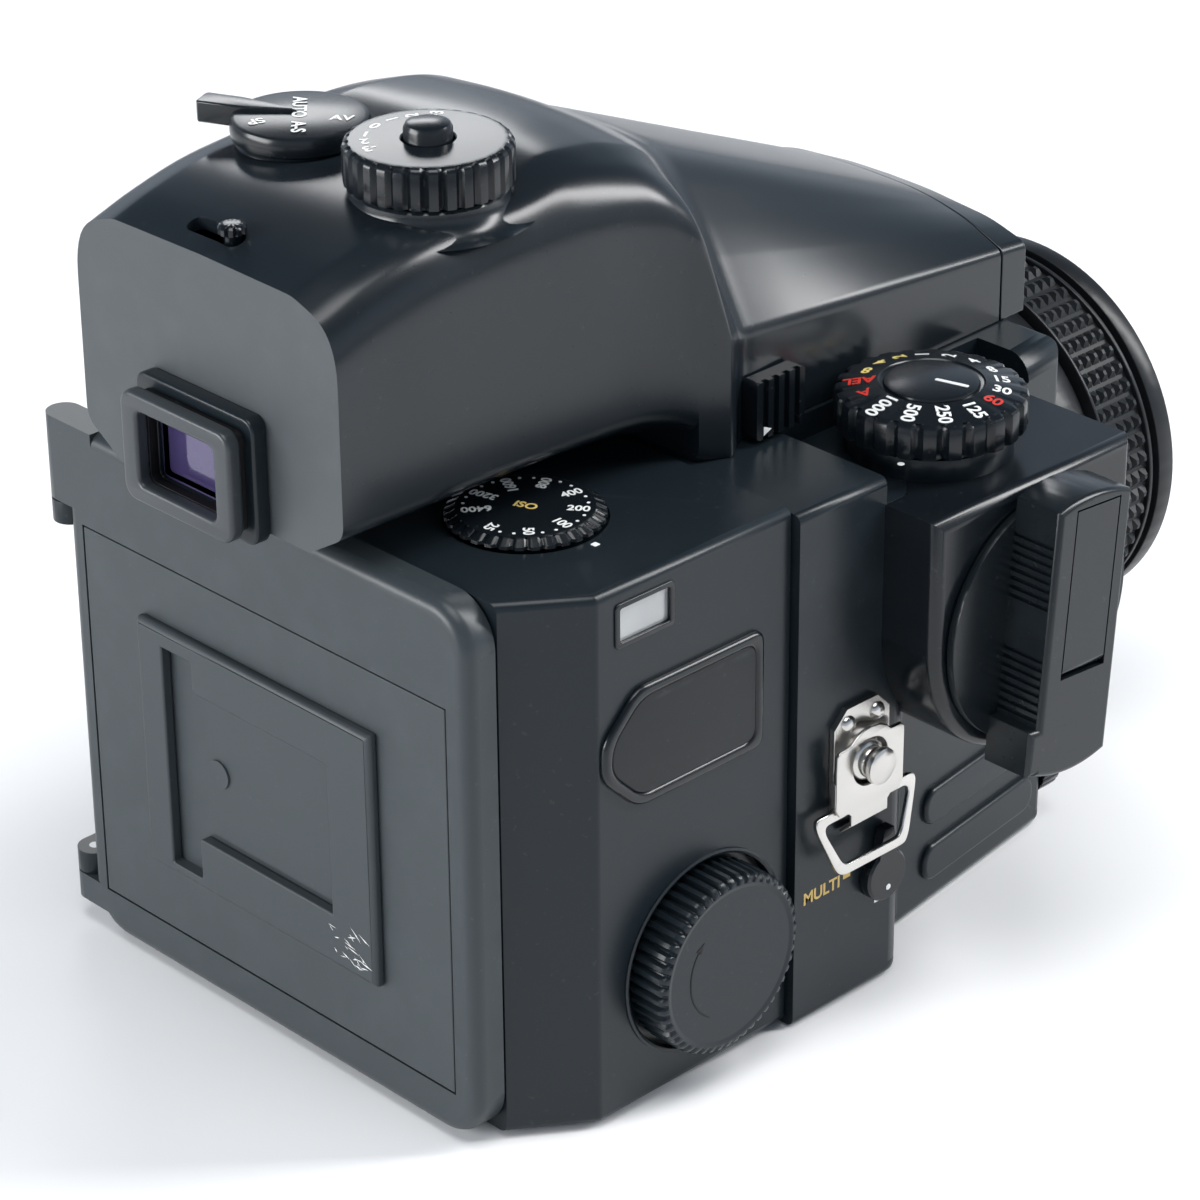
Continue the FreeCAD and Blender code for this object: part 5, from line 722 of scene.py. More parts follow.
# The faces that look back get the lighter black: painted light on the rear wall.
finder.data.materials.append(rear_wall_lit_black)
for polygon in finder.data.polygons:
    if polygon.center.y > REAR_WALL_FROM and polygon.normal.y > FACING_BACK:
        polygon.material_index = 1
round_rim(finder, 0.9)
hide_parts("prism_shell")

front_rim = finder_skin("finder_front_rim", RIM_START, RIM_END, 0.0, count=8)
round_rim(front_rim, 1.4)
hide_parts("prism_front_frame")
print("finder faces", len(finder.data.polygons), "front rim faces", len(front_rim.data.polygons))


# %% [markdown]
# ## Knob bosses
# Each knob on the tunnel stands on a moulded pedestal whose foot flares into the roof. A cone would be
# simpler, but the flare is what catches the small white highlights below the knobs, so its section is a
# quarter of an ellipse and the pedestal is turned from it.

# %% Build the pedestals
def flared_boss(name, centre, top_radius, top, foot_radius, foot):
    section = [(0, top), (top_radius - 0.4, top), (top_radius, top - 0.4)]
    for step in range(9):
        angle = math.pi / 2 * step / 8
        section.append((top_radius + (foot_radius - top_radius) * (1 - math.cos(angle)),
                        (top - 0.5) - (top - 0.5 - foot) * math.sin(angle)))
    obj = turned(name, section, frame_of("+z", (*centre, 0)), finder_black, "camera")
    return obj


COMPENSATION_CENTRE = (-15.0, 74.0)
MODE_CENTRE = (14.5, 74.0)
flared_boss("compensation_pedestal", COMPENSATION_CENTRE, 12.2, 146.9, 16.6, 142.6)
flared_boss("mode_pedestal", MODE_CENTRE, 10.2, 146.1, 14.6, 142.4)
print("pedestals stand on the tunnel roof")


# %% [markdown]
# ## Eyepiece blind lever
# The blind is worked by a tiny ribbed stud that slides in a slot in the roof. It could be a plain block,
# but the ribs catch the light even at this size, so it is turned with ten of them.

# %% Blind lever
blind = turned("blind_lever_head",
               [(0, 144.7), (1.3, 144.7), (1.9, 144.5, 1), (2.2, 144.1, 1), (2.2, 143.2, 1), (1.5, 143.0),
                (1.3, 142.6), (1.3, 138.4), (0, 138.4)],
               frame_of("+z", (-1.9, 101.6, 0)), gloss_black, "blind", flutes=10, depth=0.45)
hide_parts("blind_lever")
plate("blind_slot_shadow", soft_rectangle(11.6, 2.8, 1.35, BLIND_SLOT_CENTRE), 137.6, 138.2, frame_of("+z"),
      well_black, "camera", bevel=0.1)
print("blind lever", len(blind.data.polygons))


# %% [markdown]
# ## Dials and knobs
# The dials are moulded in glossy black, with flutes cut round the rim so that a finger can drag them. The
# frame's plain dials could keep the job, but without flutes their rims look like discs of card. So each
# is turned again at the frame's height, with its cap, and its figures read outwards from the centre.

# %% Shutter speed dial
VIEW_TURN = 226.0
SPEED_CENTRE = (-49.0, -2.2)
speed_dial = turned("shutter_speed_dial",
                    [(3, 93.1), (14.4, 93.1, 1), (15.4, 93.5, 1), (15.7, 94.0, 1), (15.7, 98.6, 1),
                     (15.4, 99.1, 1), (14.9, 99.3, 1), (14.3, 99.45), (8.7, 100.5), (8.5, 100.3),
                     (8.2, 100.2), (3, 100.2)],
                    frame_of("+z", (*SPEED_CENTRE, 0)), gloss_black, "shutter_speed", flutes=24, depth=0.9)
speed_cap = turned("shutter_speed_cap", [(0, 100.9), (6.9, 100.8), (7.7, 100.6), (7.9, 100.2), (7.9, 99.4)],
                   frame_of("+z", (*SPEED_CENTRE, 0)), gloss_black, "shutter_speed")
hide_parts("shutter_dial")
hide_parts("dial_cap")

# Text, degrees round the dial from the side that is seen, and paint
SPEEDS = [("1000", 223, "white"), ("500", 249, "white"), ("250", 275, "white"), ("125", 301, "white"),
          ("60", 325, "red"), ("30", 346, "white"), ("15", 7, "white"), ("8", 27, "white"),
          ("4", 49, "white"), ("2", 71, "white"), ("1", 93, "white"), ("2", 113, "yellow"),
          ("4", 132, "yellow"), ("8", 152, "yellow"), ("AEL", 173, "red"), ("A", 196, "red")]
for colour_name, material in (("white", white_paint), ("yellow", yellow_paint), ("red", red_paint)):
    labels = []
    for word, turn, paint in SPEEDS:
        if paint == colour_name:
            reach = 11.7 if len(word) > 2 else 11.4
            labels.append((word, 2.35, on_dial(SPEED_CENTRE, reach, VIEW_TURN + turn, 99.97, slope=11.0)))
    figures("speed_figures_" + colour_name, labels, material, "shutter_speed", thickness=0.14)
plate("speed_cap_line", soft_rectangle(5.9, 0.8, 0.3), 100.86, 100.98,
      on_dial(SPEED_CENTRE, 3.6, VIEW_TURN - 30, 0), white_paint, "shutter_speed", bevel=0.03)
print("shutter speed dial figures", len(SPEEDS))


# %% [markdown]
# ## Film speed dial
# This dial lies almost flush in the magazine, so only a low rim and its printed face show. Nine film
# speeds stand round the edge with two dots between neighbours. Each place could be typed in, but a real
# dial clicks in equal steps, so a loop sets them.

# %% Film speed dial
FILM_CENTRE = (-29.5, 69.0)
film_dial = turned("film_speed_dial",
                   [(2, 94.6), (12.2, 94.6, 1), (12.7, 94.9, 1), (12.6, 95.4, 1), (11.2, 96.1, 1),
                    (10.9, 96.25), (10.6, 96.3), (2, 96.3), (0, 96.3)],
                   frame_of("+z", (*FILM_CENTRE, 0)), gloss_black, "film_speed", flutes=32, depth=0.55)
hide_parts("iso_dial")
FILM_SPEEDS = ["25", "50", "100", "200", "400", "800", "1600", "3200", "6400"]
FIRST_SPEED_AT, SPEED_STEP = 234, 39.2
labels, marks = [], []
for index, text in enumerate(FILM_SPEEDS):
    turn = VIEW_TURN + FIRST_SPEED_AT + SPEED_STEP * index
    labels.append((text, 1.8, on_dial(FILM_CENTRE, 10.1 - 0.62 * len(text), turn, 96.33)))
    if index < len(FILM_SPEEDS) - 1:
        marks += [on_dial(FILM_CENTRE, 9.7, turn + SPEED_STEP * share, 96.31) for share in (1 / 3, 2 / 3)]
figures("film_speed_figures", labels, white_paint, "film_speed")
dots("film_speed_dots", marks, 0.28, white_paint, "film_speed")
word_turn = math.radians(VIEW_TURN - 25)
word_place = Matrix.Translation((*FILM_CENTRE, 96.33)) @ Matrix.Rotation(word_turn, 4, "Z")
figures("film_speed_word", [("ISO", 1.9, word_place)], gold_paint, "film_speed")
plate("film_speed_index", soft_rectangle(1.1, 1.1, 0.1), 94.52, 94.62,
      on_dial(FILM_CENTRE, 14.6, VIEW_TURN - 43, 0), white_paint, "camera", bevel=0.02)
print("film speed labels", FILM_SPEEDS)


# %% [markdown]
# ## Exposure compensation knob
# A tall knob with thirty flutes and a lock button in its middle. A cylinder with a bevel would stand in
# from afar, but turned from its section it also has the fine step round the button. The button is a piece
# of its own, because it is pressed down while the knob stays up.

# %% Exposure compensation knob
compensation = turned("compensation_dial",
                      [(4.2, 147.1), (12.2, 147.1, 1), (12.9, 147.4, 1), (13.0, 148.0, 1), (13.0, 153.0, 1),
                       (12.7, 153.6, 1), (12.2, 153.9, 1), (11.9, 153.95), (11.5, 153.98), (11.2, 153.99),
                       (4.3, 154.1), (4.1, 153.9), (4.1, 149.0)],
                      frame_of("+z", (*COMPENSATION_CENTRE, 0)), gloss_black, "compensation", flutes=30,
                      depth=0.7)
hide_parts("compensation_knob")
button = turned("compensation_lock",
                [(0, 156.75), (2.6, 156.7), (3.4, 156.4), (3.75, 155.7), (3.75, 149.6), (0, 149.6)],
                frame_of("+z", (*COMPENSATION_CENTRE, 0)), gloss_black, "compensation_lock")
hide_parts("compensation_button")
CORRECTIONS = (("-3", 206), ("2", 188), ("1", 170), ("0", 148), ("1", 126), ("2", 106), ("+3", 84))
labels = [(word, 2.1, on_dial(COMPENSATION_CENTRE, 9.5, VIEW_TURN + turn, 154.04, slope=1.0))
          for word, turn in CORRECTIONS]
figures("compensation_figures", labels, white_paint, "compensation")
print("compensation labels", len(labels))


# %% [markdown]
# ## Mode dial
# The metering mode is set by a flat disc with a long pointer that is pushed like a lever. One outline
# could hold both, but the disc has a rounded section and the pointer straight edges. So the disc is
# turned and the pointer is a plate.

# %% Mode dial with its pointer
mode = turned("mode_dial_disc",
              [(2.6, 146.3), (10.2, 146.3), (10.8, 146.7), (10.9, 147.4), (10.9, 148.9), (10.6, 149.5),
               (10.0, 149.7), (2, 149.9), (0, 149.9)],
              frame_of("+z", (*MODE_CENTRE, 0)), gloss_black, "mode")
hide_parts("mode_dial")
POINTER_OUTLINE = [(0.5, 0.0), (8.0, -1.7), (10.6, -2.1), (16.4, -2.1), (16.8, -1.6), (16.8, 1.6),
                   (16.4, 2.1), (10.6, 2.1), (8.0, 1.7)]
pointer = plate("mode_pointer", POINTER_OUTLINE, 147.0, 150.5,
                frame_of("+z", (*MODE_CENTRE, 0)) @ Matrix.Rotation(math.radians(25), 4, "Z"), gloss_black,
                "mode", bevel=0.3)
turn_of_word = Matrix.Rotation(math.radians(VIEW_TURN - 88), 4, "Z")
labels = [("AUTO  A-S", 2.3, frame_of("+z", (*MODE_CENTRE, 149.95)) @ Matrix.Translation((-0.4, 0.6, 0))
           @ turn_of_word),
          ("AV", 2.1, on_dial(MODE_CENTRE, 6.9, VIEW_TURN + 342, 149.86)
           @ Matrix.Rotation(math.radians(12), 4, "Z")),
          ("SP", 2.1, on_dial(MODE_CENTRE, 7.3, VIEW_TURN + 206, 149.86))]
figures("mode_figures", labels, white_paint, "mode")
print("mode dial", mode.name, pointer.name)


# %% [markdown]
# ## Winding knob
# The knob winds the film on and has fifty fine flutes. A noise or a bump could fake them, but the rim is
# seen from the side, where only real flutes break the outline. A thin curved arrow on its face shows
# which way to turn: a strip between two arcs, and a triangle.

# %% Winding knob
WIND_PLACE = frame_of("-x", (0, 57.3, 22.8))
wind = turned("winding_knob",
              [(3.2, 55.3), (14.7, 55.3, 1), (15.3, 55.5, 1), (15.6, 56.0, 1), (15.6, 61.8, 1),
               (15.3, 62.5, 1), (14.7, 62.9, 1), (14.2, 63.0), (13.9, 63.0), (13.5, 62.8), (13.2, 62.8),
               (0, 62.8)],
              WIND_PLACE, satin_black, "winder", flutes=50, depth=0.8, share=0.6)
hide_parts("wind_knob")
turned("winding_knob_ring", [(17.6, 56.5), (17.6, 57.0), (17.2, 57.15), (16.8, 57.0), (16.6, 56.5)],
       WIND_PLACE, satin_black, "camera")


def arc_strip(radius, width, start, end, steps=28):
    """Outline of a thin arc drawn round the origin, angles in degrees, start below end."""
    turns = [math.radians(start + (end - start) * step / steps) for step in range(steps + 1)]
    edges = []
    for edge in (radius + width / 2, radius - width / 2):
        edges.append([(edge * math.cos(turn), edge * math.sin(turn)) for turn in turns])
    return edges[0] + edges[1][::-1]


def arrow_head(radius, width, turn, length):
    """Outline of a small triangle that ends an arc at one angle and points to smaller angles."""
    here, tip = math.radians(turn), math.radians(turn - length)
    return [((radius + width) * math.cos(here), (radius + width) * math.sin(here)),
            ((radius - width) * math.cos(here), (radius - width) * math.sin(here)),
            (radius * math.cos(tip), radius * math.sin(tip))]


for name, outline in (("winding_arrow_line", arc_strip(9.0, 0.32, 52, 148)),
                      ("winding_arrow_head", arrow_head(9.0, 0.75, 54, 12))):
    plate(name, outline, 62.79, 62.87, WIND_PLACE, well_black, "winder", bevel=0.02)
print("winding knob with its arrow")


# %% [markdown]
# ## Eyepiece
# The rubber cup is softer than the mount behind it, so its rims are rounder and its finish duller. Cup,
# neck, mount and baffle could be one stepped block, but they differ in finish, and each is a plain frame
# round the same window. So each is a plate with a hole.

# %% Eyepiece cup and frame
EYE_PLACE = frame_of("+y", (0, 0, 108)) @ Matrix.Rotation(math.pi, 4, "Z")
EYE_WINDOW = soft_rectangle(18.2, 12.4, 1.2)[::-1]
cup = plate("eyepiece_cup", soft_rectangle(25.6, 18.4, 2.6), 110.7, 113.4, EYE_PLACE, cup_rubber, "camera",
            bevel=0.7, holes=[EYE_WINDOW])
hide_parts("eyecup")
neck = plate("eyepiece_neck", soft_rectangle(23.4, 16.6, 1.4), 109.2, 110.9, EYE_PLACE, well_black, "camera",
             bevel=0.1, holes=[EYE_WINDOW])
mount = plate("eyepiece_mount", soft_rectangle(27.5, 21.0, 2.2), 106.45, 109.3, EYE_PLACE, satin_black,
              "camera", bevel=0.5, holes=[EYE_WINDOW])
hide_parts("eyepiece_frame")
inner_step = plate("eyepiece_baffle", soft_rectangle(18.0, 12.2, 0.8), 106.5, 108.4, EYE_PLACE, well_black,
                   "camera", bevel=0.2, holes=[soft_rectangle(14.6, 9.4, 0.6)[::-1]])
print("eyepiece pieces", cup.name, neck.name, mount.name, inner_step.name)


# %% [markdown]
# ## Coated glass
# Camera glass is coated, and what is left of its reflections has a colour: violet in the eyepiece, green
# in the lens. Clear glass would show a dark inside and need many more rays. A very dark base under a
# tinted clear coat looks the same, and a faint cloud of smears keeps it from being too clean. The window
# of the frame counter is the same glass on a pale base, which paints the window's glow.

# %% Coated eyepiece glass
def coated_glass(name, colour, tint):
    material = bpy.data.materials.new(name)
    material.use_nodes = True
    tree = material.node_tree
    shader = tree.nodes["Principled BSDF"]
    shader.inputs["Coat Weight"].default_value = 1.0
    shader.inputs["Coat Roughness"].default_value = 0.02
    shader.inputs["Coat Tint"].default_value = (*tint, 1)
    place = add(tree, "ShaderNodeTexCoord")
    cloud = add(tree, "ShaderNodeTexNoise", [("Vector", place.outputs["Object"])], Scale=60.0, Detail=3.0)
    ramp = tree.nodes.new("ShaderNodeValToRGB")
    ramp.color_ramp.elements[0].color = (*[part * 0.7 for part in colour], 1)
    ramp.color_ramp.elements[1].color = (*[min(1, part * 1.3) for part in colour], 1)
    tree.links.new(cloud.outputs["Fac"], ramp.inputs["Fac"])
    tree.links.new(ramp.outputs["Color"], shader.inputs["Base Color"])
    smear = add(tree, "ShaderNodeMapRange", [("Value", cloud.outputs["Fac"])], To_Min=0.02, To_Max=0.12)
    tree.links.new(smear.outputs[0], shader.inputs["Roughness"])
    return material


purple_glass = coated_glass("purple_coated_glass", (0.055, 0.045, 0.085), (0.75, 0.7, 1.0))
green_glass = coated_glass("green_coated_glass", (0.004, 0.009, 0.008), (0.7, 0.95, 0.85))
# A pale base on the counter's glass paints the window's glow.
pale_glow_glass = coated_glass("counter_window_pale_glow", (0.35, 0.36, 0.36), (1, 1, 1))
for node, glass in (("eyepiece_lens", purple_glass), ("front_element", green_glass),
                    ("rear_element", green_glass)):
    nodes[node].data.materials[0] = glass
print("glasses", [glass.name for glass in (purple_glass, green_glass, pale_glow_glass)])


# %% [markdown]
# ## Lens
# The focusing grip is a rubber sleeve with five rows of small blunt pyramids between a plain rear band
# and the front rim. A bump would show in the middle of the grip but not on its outline, so each stud is
# real. It has four flat flanks, because flanks that catch the light one by one make the grip look crisp.

# %% Studded grip
LENS_AXIS_Z = 50.7
STUD_ROWS, STUDS_AROUND, FIRST_ROW_Y, ROW_PITCH = 5, 62, -68.2, -2.1
STUD_BASE_RADIUS, STUD_TIP_RADIUS = 33.55, 34.6
STUD_FILL, STUD_TIP_SHARE = 0.82, 0.28


def build_grip():
    corners, faces = [], []
    half = math.pi / STUDS_AROUND * STUD_FILL
    half_tip = half * STUD_TIP_SHARE
    for row in range(STUD_ROWS):
        near, far = FIRST_ROW_Y + ROW_PITCH * row, FIRST_ROW_Y + ROW_PITCH * (row + 1) + 0.25
        for item in range(STUDS_AROUND):
            middle = 2 * math.pi * item / STUDS_AROUND
            first = len(corners)
            for radius, reach, rear, front in ((STUD_BASE_RADIUS, half, near, far),
                                               (STUD_TIP_RADIUS, half_tip, near - 0.65, far + 0.55)):
                for y, turn in ((rear, middle - reach), (rear, middle + reach), (front, middle + reach),
                                (front, middle - reach)):
                    corners.append((radius * math.sin(turn), y, LENS_AXIS_Z + radius * math.cos(turn)))
            faces += [(first + side, first + (side + 1) % 4, first + (side + 1) % 4 + 4, first + side + 4)
                      for side in range(4)]
            faces.append((first + 4, first + 5, first + 6, first + 7))
    return piece_from("focus_grip_studs", corners, faces, grip_rubber, "focus", smooth_angle=10)


studs = build_grip()
LENS_PLACE = frame_of("-y", (0, 0, LENS_AXIS_Z))
sleeve = turned("focus_grip_sleeve",
                [(33.1, 67.25), (33.9, 67.3), (34.2, 67.6), (34.2, 68.0), (33.6, 68.3), (33.6, 78.9),
                 (34.3, 79.1), (34.6, 79.3), (34.6, 79.45), (33.1, 79.5)],
                LENS_PLACE, grip_rubber, "focus", steps=160)
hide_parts("focus_grip")
print("grip studs", len(studs.data.polygons) // 5)


# %% [markdown]
# ## Lens markings
# The lens carries the stops, the depth of field marks, the distances and two red dots. Text could be
# wrapped round the barrel by a Curve modifier, but these figures are so short that they may stay flat.
# Each only gets its place on the barrel, a hair above the surface.

# %% Lens markings
PRINT_RADIUS, DOT_RADIUS = 33.03, 33.02


def on_barrel(radius, degrees, y):
    """Place on a barrel round -Y, text reads round it with its head toward the front."""
    angle = math.radians(degrees)
    outward = Vector((math.sin(angle), 0, math.cos(angle)))
    up = Vector((0, -1, 0))
    across = up.cross(outward)
    place = Matrix((across, up, outward)).transposed().to_4x4()
    return Matrix.Translation(Vector((0, y, LENS_AXIS_Z)) + outward * radius) @ place


stops = ["2.8", "4", "5.6", "8", "11", "16", "22"]
figures("aperture_figures", [(word, 1.9, on_barrel(PRINT_RADIUS, 30 - 10 * index, -53.3))
                             for index, word in enumerate(stops)], white_paint, "aperture")
figures("depth_figures", [(word, 1.3, on_barrel(PRINT_RADIUS, sign * 6 * (index + 1), -46.4))
                          for index, word in enumerate(["4", "8", "16", "22"]) for sign in (-1, 1)],
        white_paint, "camera")
dots("lens_index_dot", [on_barrel(DOT_RADIUS, 0, -44.2)], 0.9, red_paint, "camera")
dots("lens_mount_dot", [on_barrel(DOT_RADIUS, -64, -59.0)], 1.3, red_paint, "camera")
figures("distance_figures", [(word, 1.7, on_barrel(PRINT_RADIUS, 40 - 16 * index, -61.0))
                             for index, word in enumerate(["0.6", "0.8", "1", "1.5", "3", "6"])],
        white_paint, "camera")
print("aperture stops", stops)


# %% [markdown]
# ## Strap lugs
# The strap lug is nickel plated steel: a plate held by two dome rivets, and a stepped stud with a button
# head. Two cylinders would do from afar, but bright metal shows its surroundings in every edge. So the
# stud is turned from a section with real steps, and the rivets from a low dome.

# %% Studs and rivets
LUG_Y, LUG_Z = 24, 46
RIGHT_LUG_X, LEFT_LUG_X = -58.4, 48.3
PLATE_FACE = 1.1
STUD_SECTION = [(0, 6.2), (2.5, 6.15), (3.1, 5.8), (3.2, 5.2), (3.1, 4.75), (1.9, 4.6), (1.9, 4.0),
                (2.6, 3.8), (2.75, 3.4), (2.75, 3.0), (3.3, 2.8), (3.6, 2.4), (3.6, 1.9), (3.4, 1.6),
                (3.9, 1.3), (4.0, 0.2)]


def build_stud(word, x):
    for index, y in enumerate((20.6, 27.4)):
        turned("lug_rivet_%s_%d" % (word, index + 1),
               [(0, 0.9), (0.7, 0.84), (1.25, 0.58), (1.5, 0.2), (1.55, 0.0)],
               on_side(x + math.copysign(PLATE_FACE, x), y, 53.2), nickel, "camera", steps=32)
    return turned("lug_stud_" + word, STUD_SECTION, on_side(x, LUG_Y, LUG_Z), nickel, "camera", steps=64)


right_stud = build_stud("right", RIGHT_LUG_X)
left_stud = build_stud("left", LEFT_LUG_X)
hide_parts("lug_studs")
nodes["lug_plates"].data.materials[0] = nickel
print("studs", right_stud.name, left_stud.name)


# %% [markdown]
# ## Strap rings
# The bracket is one stamping: a face with a hump round the stud, two flanks bent back toward the camera,
# and a lip that is bent out and slotted. The ring in it is a flat band, wide at the top and narrow at the
# foot. Bending one sheet would need a solver, so each flat stretch is a plate of its own. All of them
# ride on the ring's body, because they turn together on the stud.

# %% Brackets and rings
BRACKET_HALF = [(0, 6.3), (1.9, 6.1), (3.6, 5.3), (4.7, 4.3), (7.2, 4.2), (7.9, 3.5), (7.9, -6.2),
                (7.2, -7.6), (4.9, -8.0), (4.3, -8.6), (4.3, -10.6)]
HOLE_RADIUS, HOLE_STEPS = 4.2, 40
RING_HALF = [(11.3, -7.0), (12.0, -8.4), (8.6, -17.2), (7.4, -18.4)]
RING_ROUNDS = [0, 1.1, 2.2, 1.6, 1.6, 1.6, 1.6, 2.2, 1.1, 0]
RING_TOP, RING_MIDDLE = -7.0, Vector((0, -12.9))
OPENING_WIDE, OPENING_HIGH = 0.835, 0.70


def mirrored(half):
    return half + [(-x, y) for x, y in reversed(half) if x]


def build_ring(word, x, node):
    body = "strap_" + word
    pivot = on_side(x, LUG_Y, LUG_Z)
    turns = [-2 * math.pi * step / HOLE_STEPS for step in range(HOLE_STEPS)]
    hole = [(HOLE_RADIUS * math.cos(turn), HOLE_RADIUS * math.sin(turn)) for turn in turns]
    bracket = plate("strap_bracket_" + word, mirrored(BRACKET_HALF), 2.45, 3.15, pivot, nickel, body,
                    bevel=0.2, holes=[hole])
    for side, end in (("front", 1), ("rear", -1)):
        flank = soft_rectangle(1.4, 4.6, 0.4)
        place = pivot @ Matrix.Translation((7.65 * end, -3.6, 2.2)) @ Matrix.Rotation(math.pi / 2, 4, "Y")
        plate("strap_flank_%s_%s" % (word, side), flank, -0.3, 0.3, place, nickel, body, bevel=0.15)
    lip_place = pivot @ Matrix.Translation((0, -10.4, 2.8)) @ Matrix.Rotation(math.radians(48), 4, "X")
    plate("strap_lip_" + word, soft_rectangle(8.6, 3.6, 0.7, (0, -1.6)), -0.3, 0.3, lip_place, nickel, body,
          bevel=0.15, holes=[soft_rectangle(5.4, 0.9, 0.4, (0, -1.8))[::-1]])
    outer = rounded_corners([(0, RING_TOP), *RING_HALF, *[(-a, b) for a, b in reversed(RING_HALF)],
                             (0, RING_TOP)], RING_ROUNDS, steps=5)[:-1]
    inner = [tuple(RING_MIDDLE + Vector(((px - RING_MIDDLE.x) * OPENING_WIDE,
                                         (py - RING_MIDDLE.y) * OPENING_HIGH))) for px, py in outer]
    ring_place = (pivot @ Matrix.Translation((0, -7.4, 1.35)) @ Matrix.Rotation(math.radians(-11), 4, "X")
                  @ Matrix.Translation((0, 7.4, 0)))
    plate("strap_band_" + word, outer, 0, 0.95, ring_place, nickel, body, bevel=0.25, holes=[inner[::-1]])
    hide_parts(node)
    return bracket


for word, x in (("right", RIGHT_LUG_X), ("left", LEFT_LUG_X)):
    print("ring", build_ring(word, x, "strap_ring_" + word).name)


# %% [markdown]
# ## Printed marks on the right side
# The double exposure lever is explained by a word and three small marks in paint. They could be drawn in
# the body's material, but then every one would need a mask. Each is a thin piece instead, a twentieth of
# a millimetre proud of the plastic. The dot turns with the lever, so it rides on the lever's body.

# %% Marks by the lever
SIDE = -58.32
figures("multi_word", [("MULTI", 2.3, on_side(SIDE, 31.6, 23.4))], gold_paint, "camera")
for name, width, y, z, paint in (("multi_gold_square", 1.7, 25.7, 24.3, gold_paint),
                                 ("multi_white_square", 1.6, 18.0, 16.4, white_paint)):
    plate(name, soft_rectangle(width, width, 0.1), 0, 0.06, on_side(SIDE, y, z), paint, "camera",
          bevel=0.02)
dots("multi_white_dot", [on_side(-60.62, 18.0, 19.4)], 0.55, white_paint, "multi")
print("side marks by the lever")


# %% [markdown]
# ## Frame counter
# The frame counter is a printed drum behind a clear window. The window glows almost white and no figure
# can be read. Light from inside would spill on the body, so the glow is painted: the glass gets a pale
# base, over a white drum without figures, with a dark frame set round it.

# %% Counter window with its drum
MAGAZINE_SIDE, COUNTER_Y, COUNTER_Z = -56.7, 70.3, 88.0
drum = turned("counter_drum", [(0, -4.6), (5.2, -4.6), (5.4, -4.4), (5.4, 4.4), (5.2, 4.6), (0, 4.6)],
              Matrix.Translation((-49.6, COUNTER_Y, COUNTER_Z)) @ Matrix.Rotation(math.pi / 2, 4, "X"),
              white_paint, "camera", steps=48)
# The pale glass paints the window's glow.
nodes["counter_window"].data.materials[0] = pale_glow_glass
plate("counter_window_frame", soft_rectangle(12.6, 7.6, 0.8), -1.0, 0.35,
      on_side(MAGAZINE_SIDE, COUNTER_Y, COUNTER_Z), gloss_black, "camera", bevel=0.2,
      holes=[soft_rectangle(10.6, 5.8, 0.4)[::-1]])
print("counter window", drum.name)


# %% [markdown]
# ## Thumb pad
# The thumb rests on a raised pad under the counter, square toward the lens and cut off toward the door. A
# glossy rim stands round a duller face. Scaling one outline would make the rim uneven, so the outline is
# moved in by the same distance on every side, once for the rim's window and once for the face.

# %% Pad rim and face
def pad_outline(inset=0.0):
    """Outline that covers the pad's recess, moved in by the inset. x is toward the lens."""
    lens_end, cut_start, door_end = -44.8 - inset, -72.6 + inset * 0.4, -79.8 + inset
    low, cut_low, cut_high, high = 55.6 + inset, 62.8 + inset * 0.4, 69.2 - inset * 0.4, 76.4 - inset
    ends = [(lens_end, high), (cut_start, high), (door_end, cut_high), (door_end, cut_low), (cut_start, low),
            (lens_end, low)]
    start = (lens_end, 66.0)
    return rounded_corners([start, *ends, start], [0, 2.4, 2.6, 2.6, 2.6, 2.6, 2.4, 0], steps=7)[:-1]


PAD_PLACE = on_side(MAGAZINE_SIDE, 0, 0)
pad_rim = plate("thumb_pad_rim", pad_outline(), -0.6, 1.1, PAD_PLACE, gloss_black, "camera", bevel=0.8,
                holes=[pad_outline(2.0)[::-1]], segments=4)
pad_face = plate("thumb_pad_face", pad_outline(1.9), -0.6, 0.85, PAD_PLACE, grip_rubber, "camera",
                 bevel=0.25)
print("thumb pad", len(pad_rim.data.polygons), len(pad_face.data.polygons))


# %% [markdown]
# ## Small marks
# A white triangle shows which way the finder's slider goes, and a white dot on the body is read against
# the shutter dial. Both are so small that a thin plate and a prism are enough. The triangle rides on the
# slider and the dot on the body, which would not work if both were drawn in one piece.

# %% Triangle and dots
plate("finder_catch_mark", [(-0.9, -0.8), (0.9, 0.0), (-0.9, 0.8)], 0, 0.08, on_side(-36.42, 22.6, 95.9),
      white_paint, "finder_catch", bevel=0.02)
dots("speed_index_dot", [Matrix.Translation((-56.6, 13.2, 93.52))], 0.6, white_paint, "camera")
print("small marks placed")


# %% [markdown]
# ## Rear door
# The door carries a plain memo holder, and years of use have scratched its lower right corner. The wear
# group finds edges but not a worn spot, and placing every stroke by hand is tedious. So a few hair thin
# light strokes are laid there by a seeded random rule, which draws the same ones in each run.

# %% Scratches on the memo holder
SCRATCHES, SCRATCH_SEED, HOLDER_FACE_Y = 26, 11, 101.02


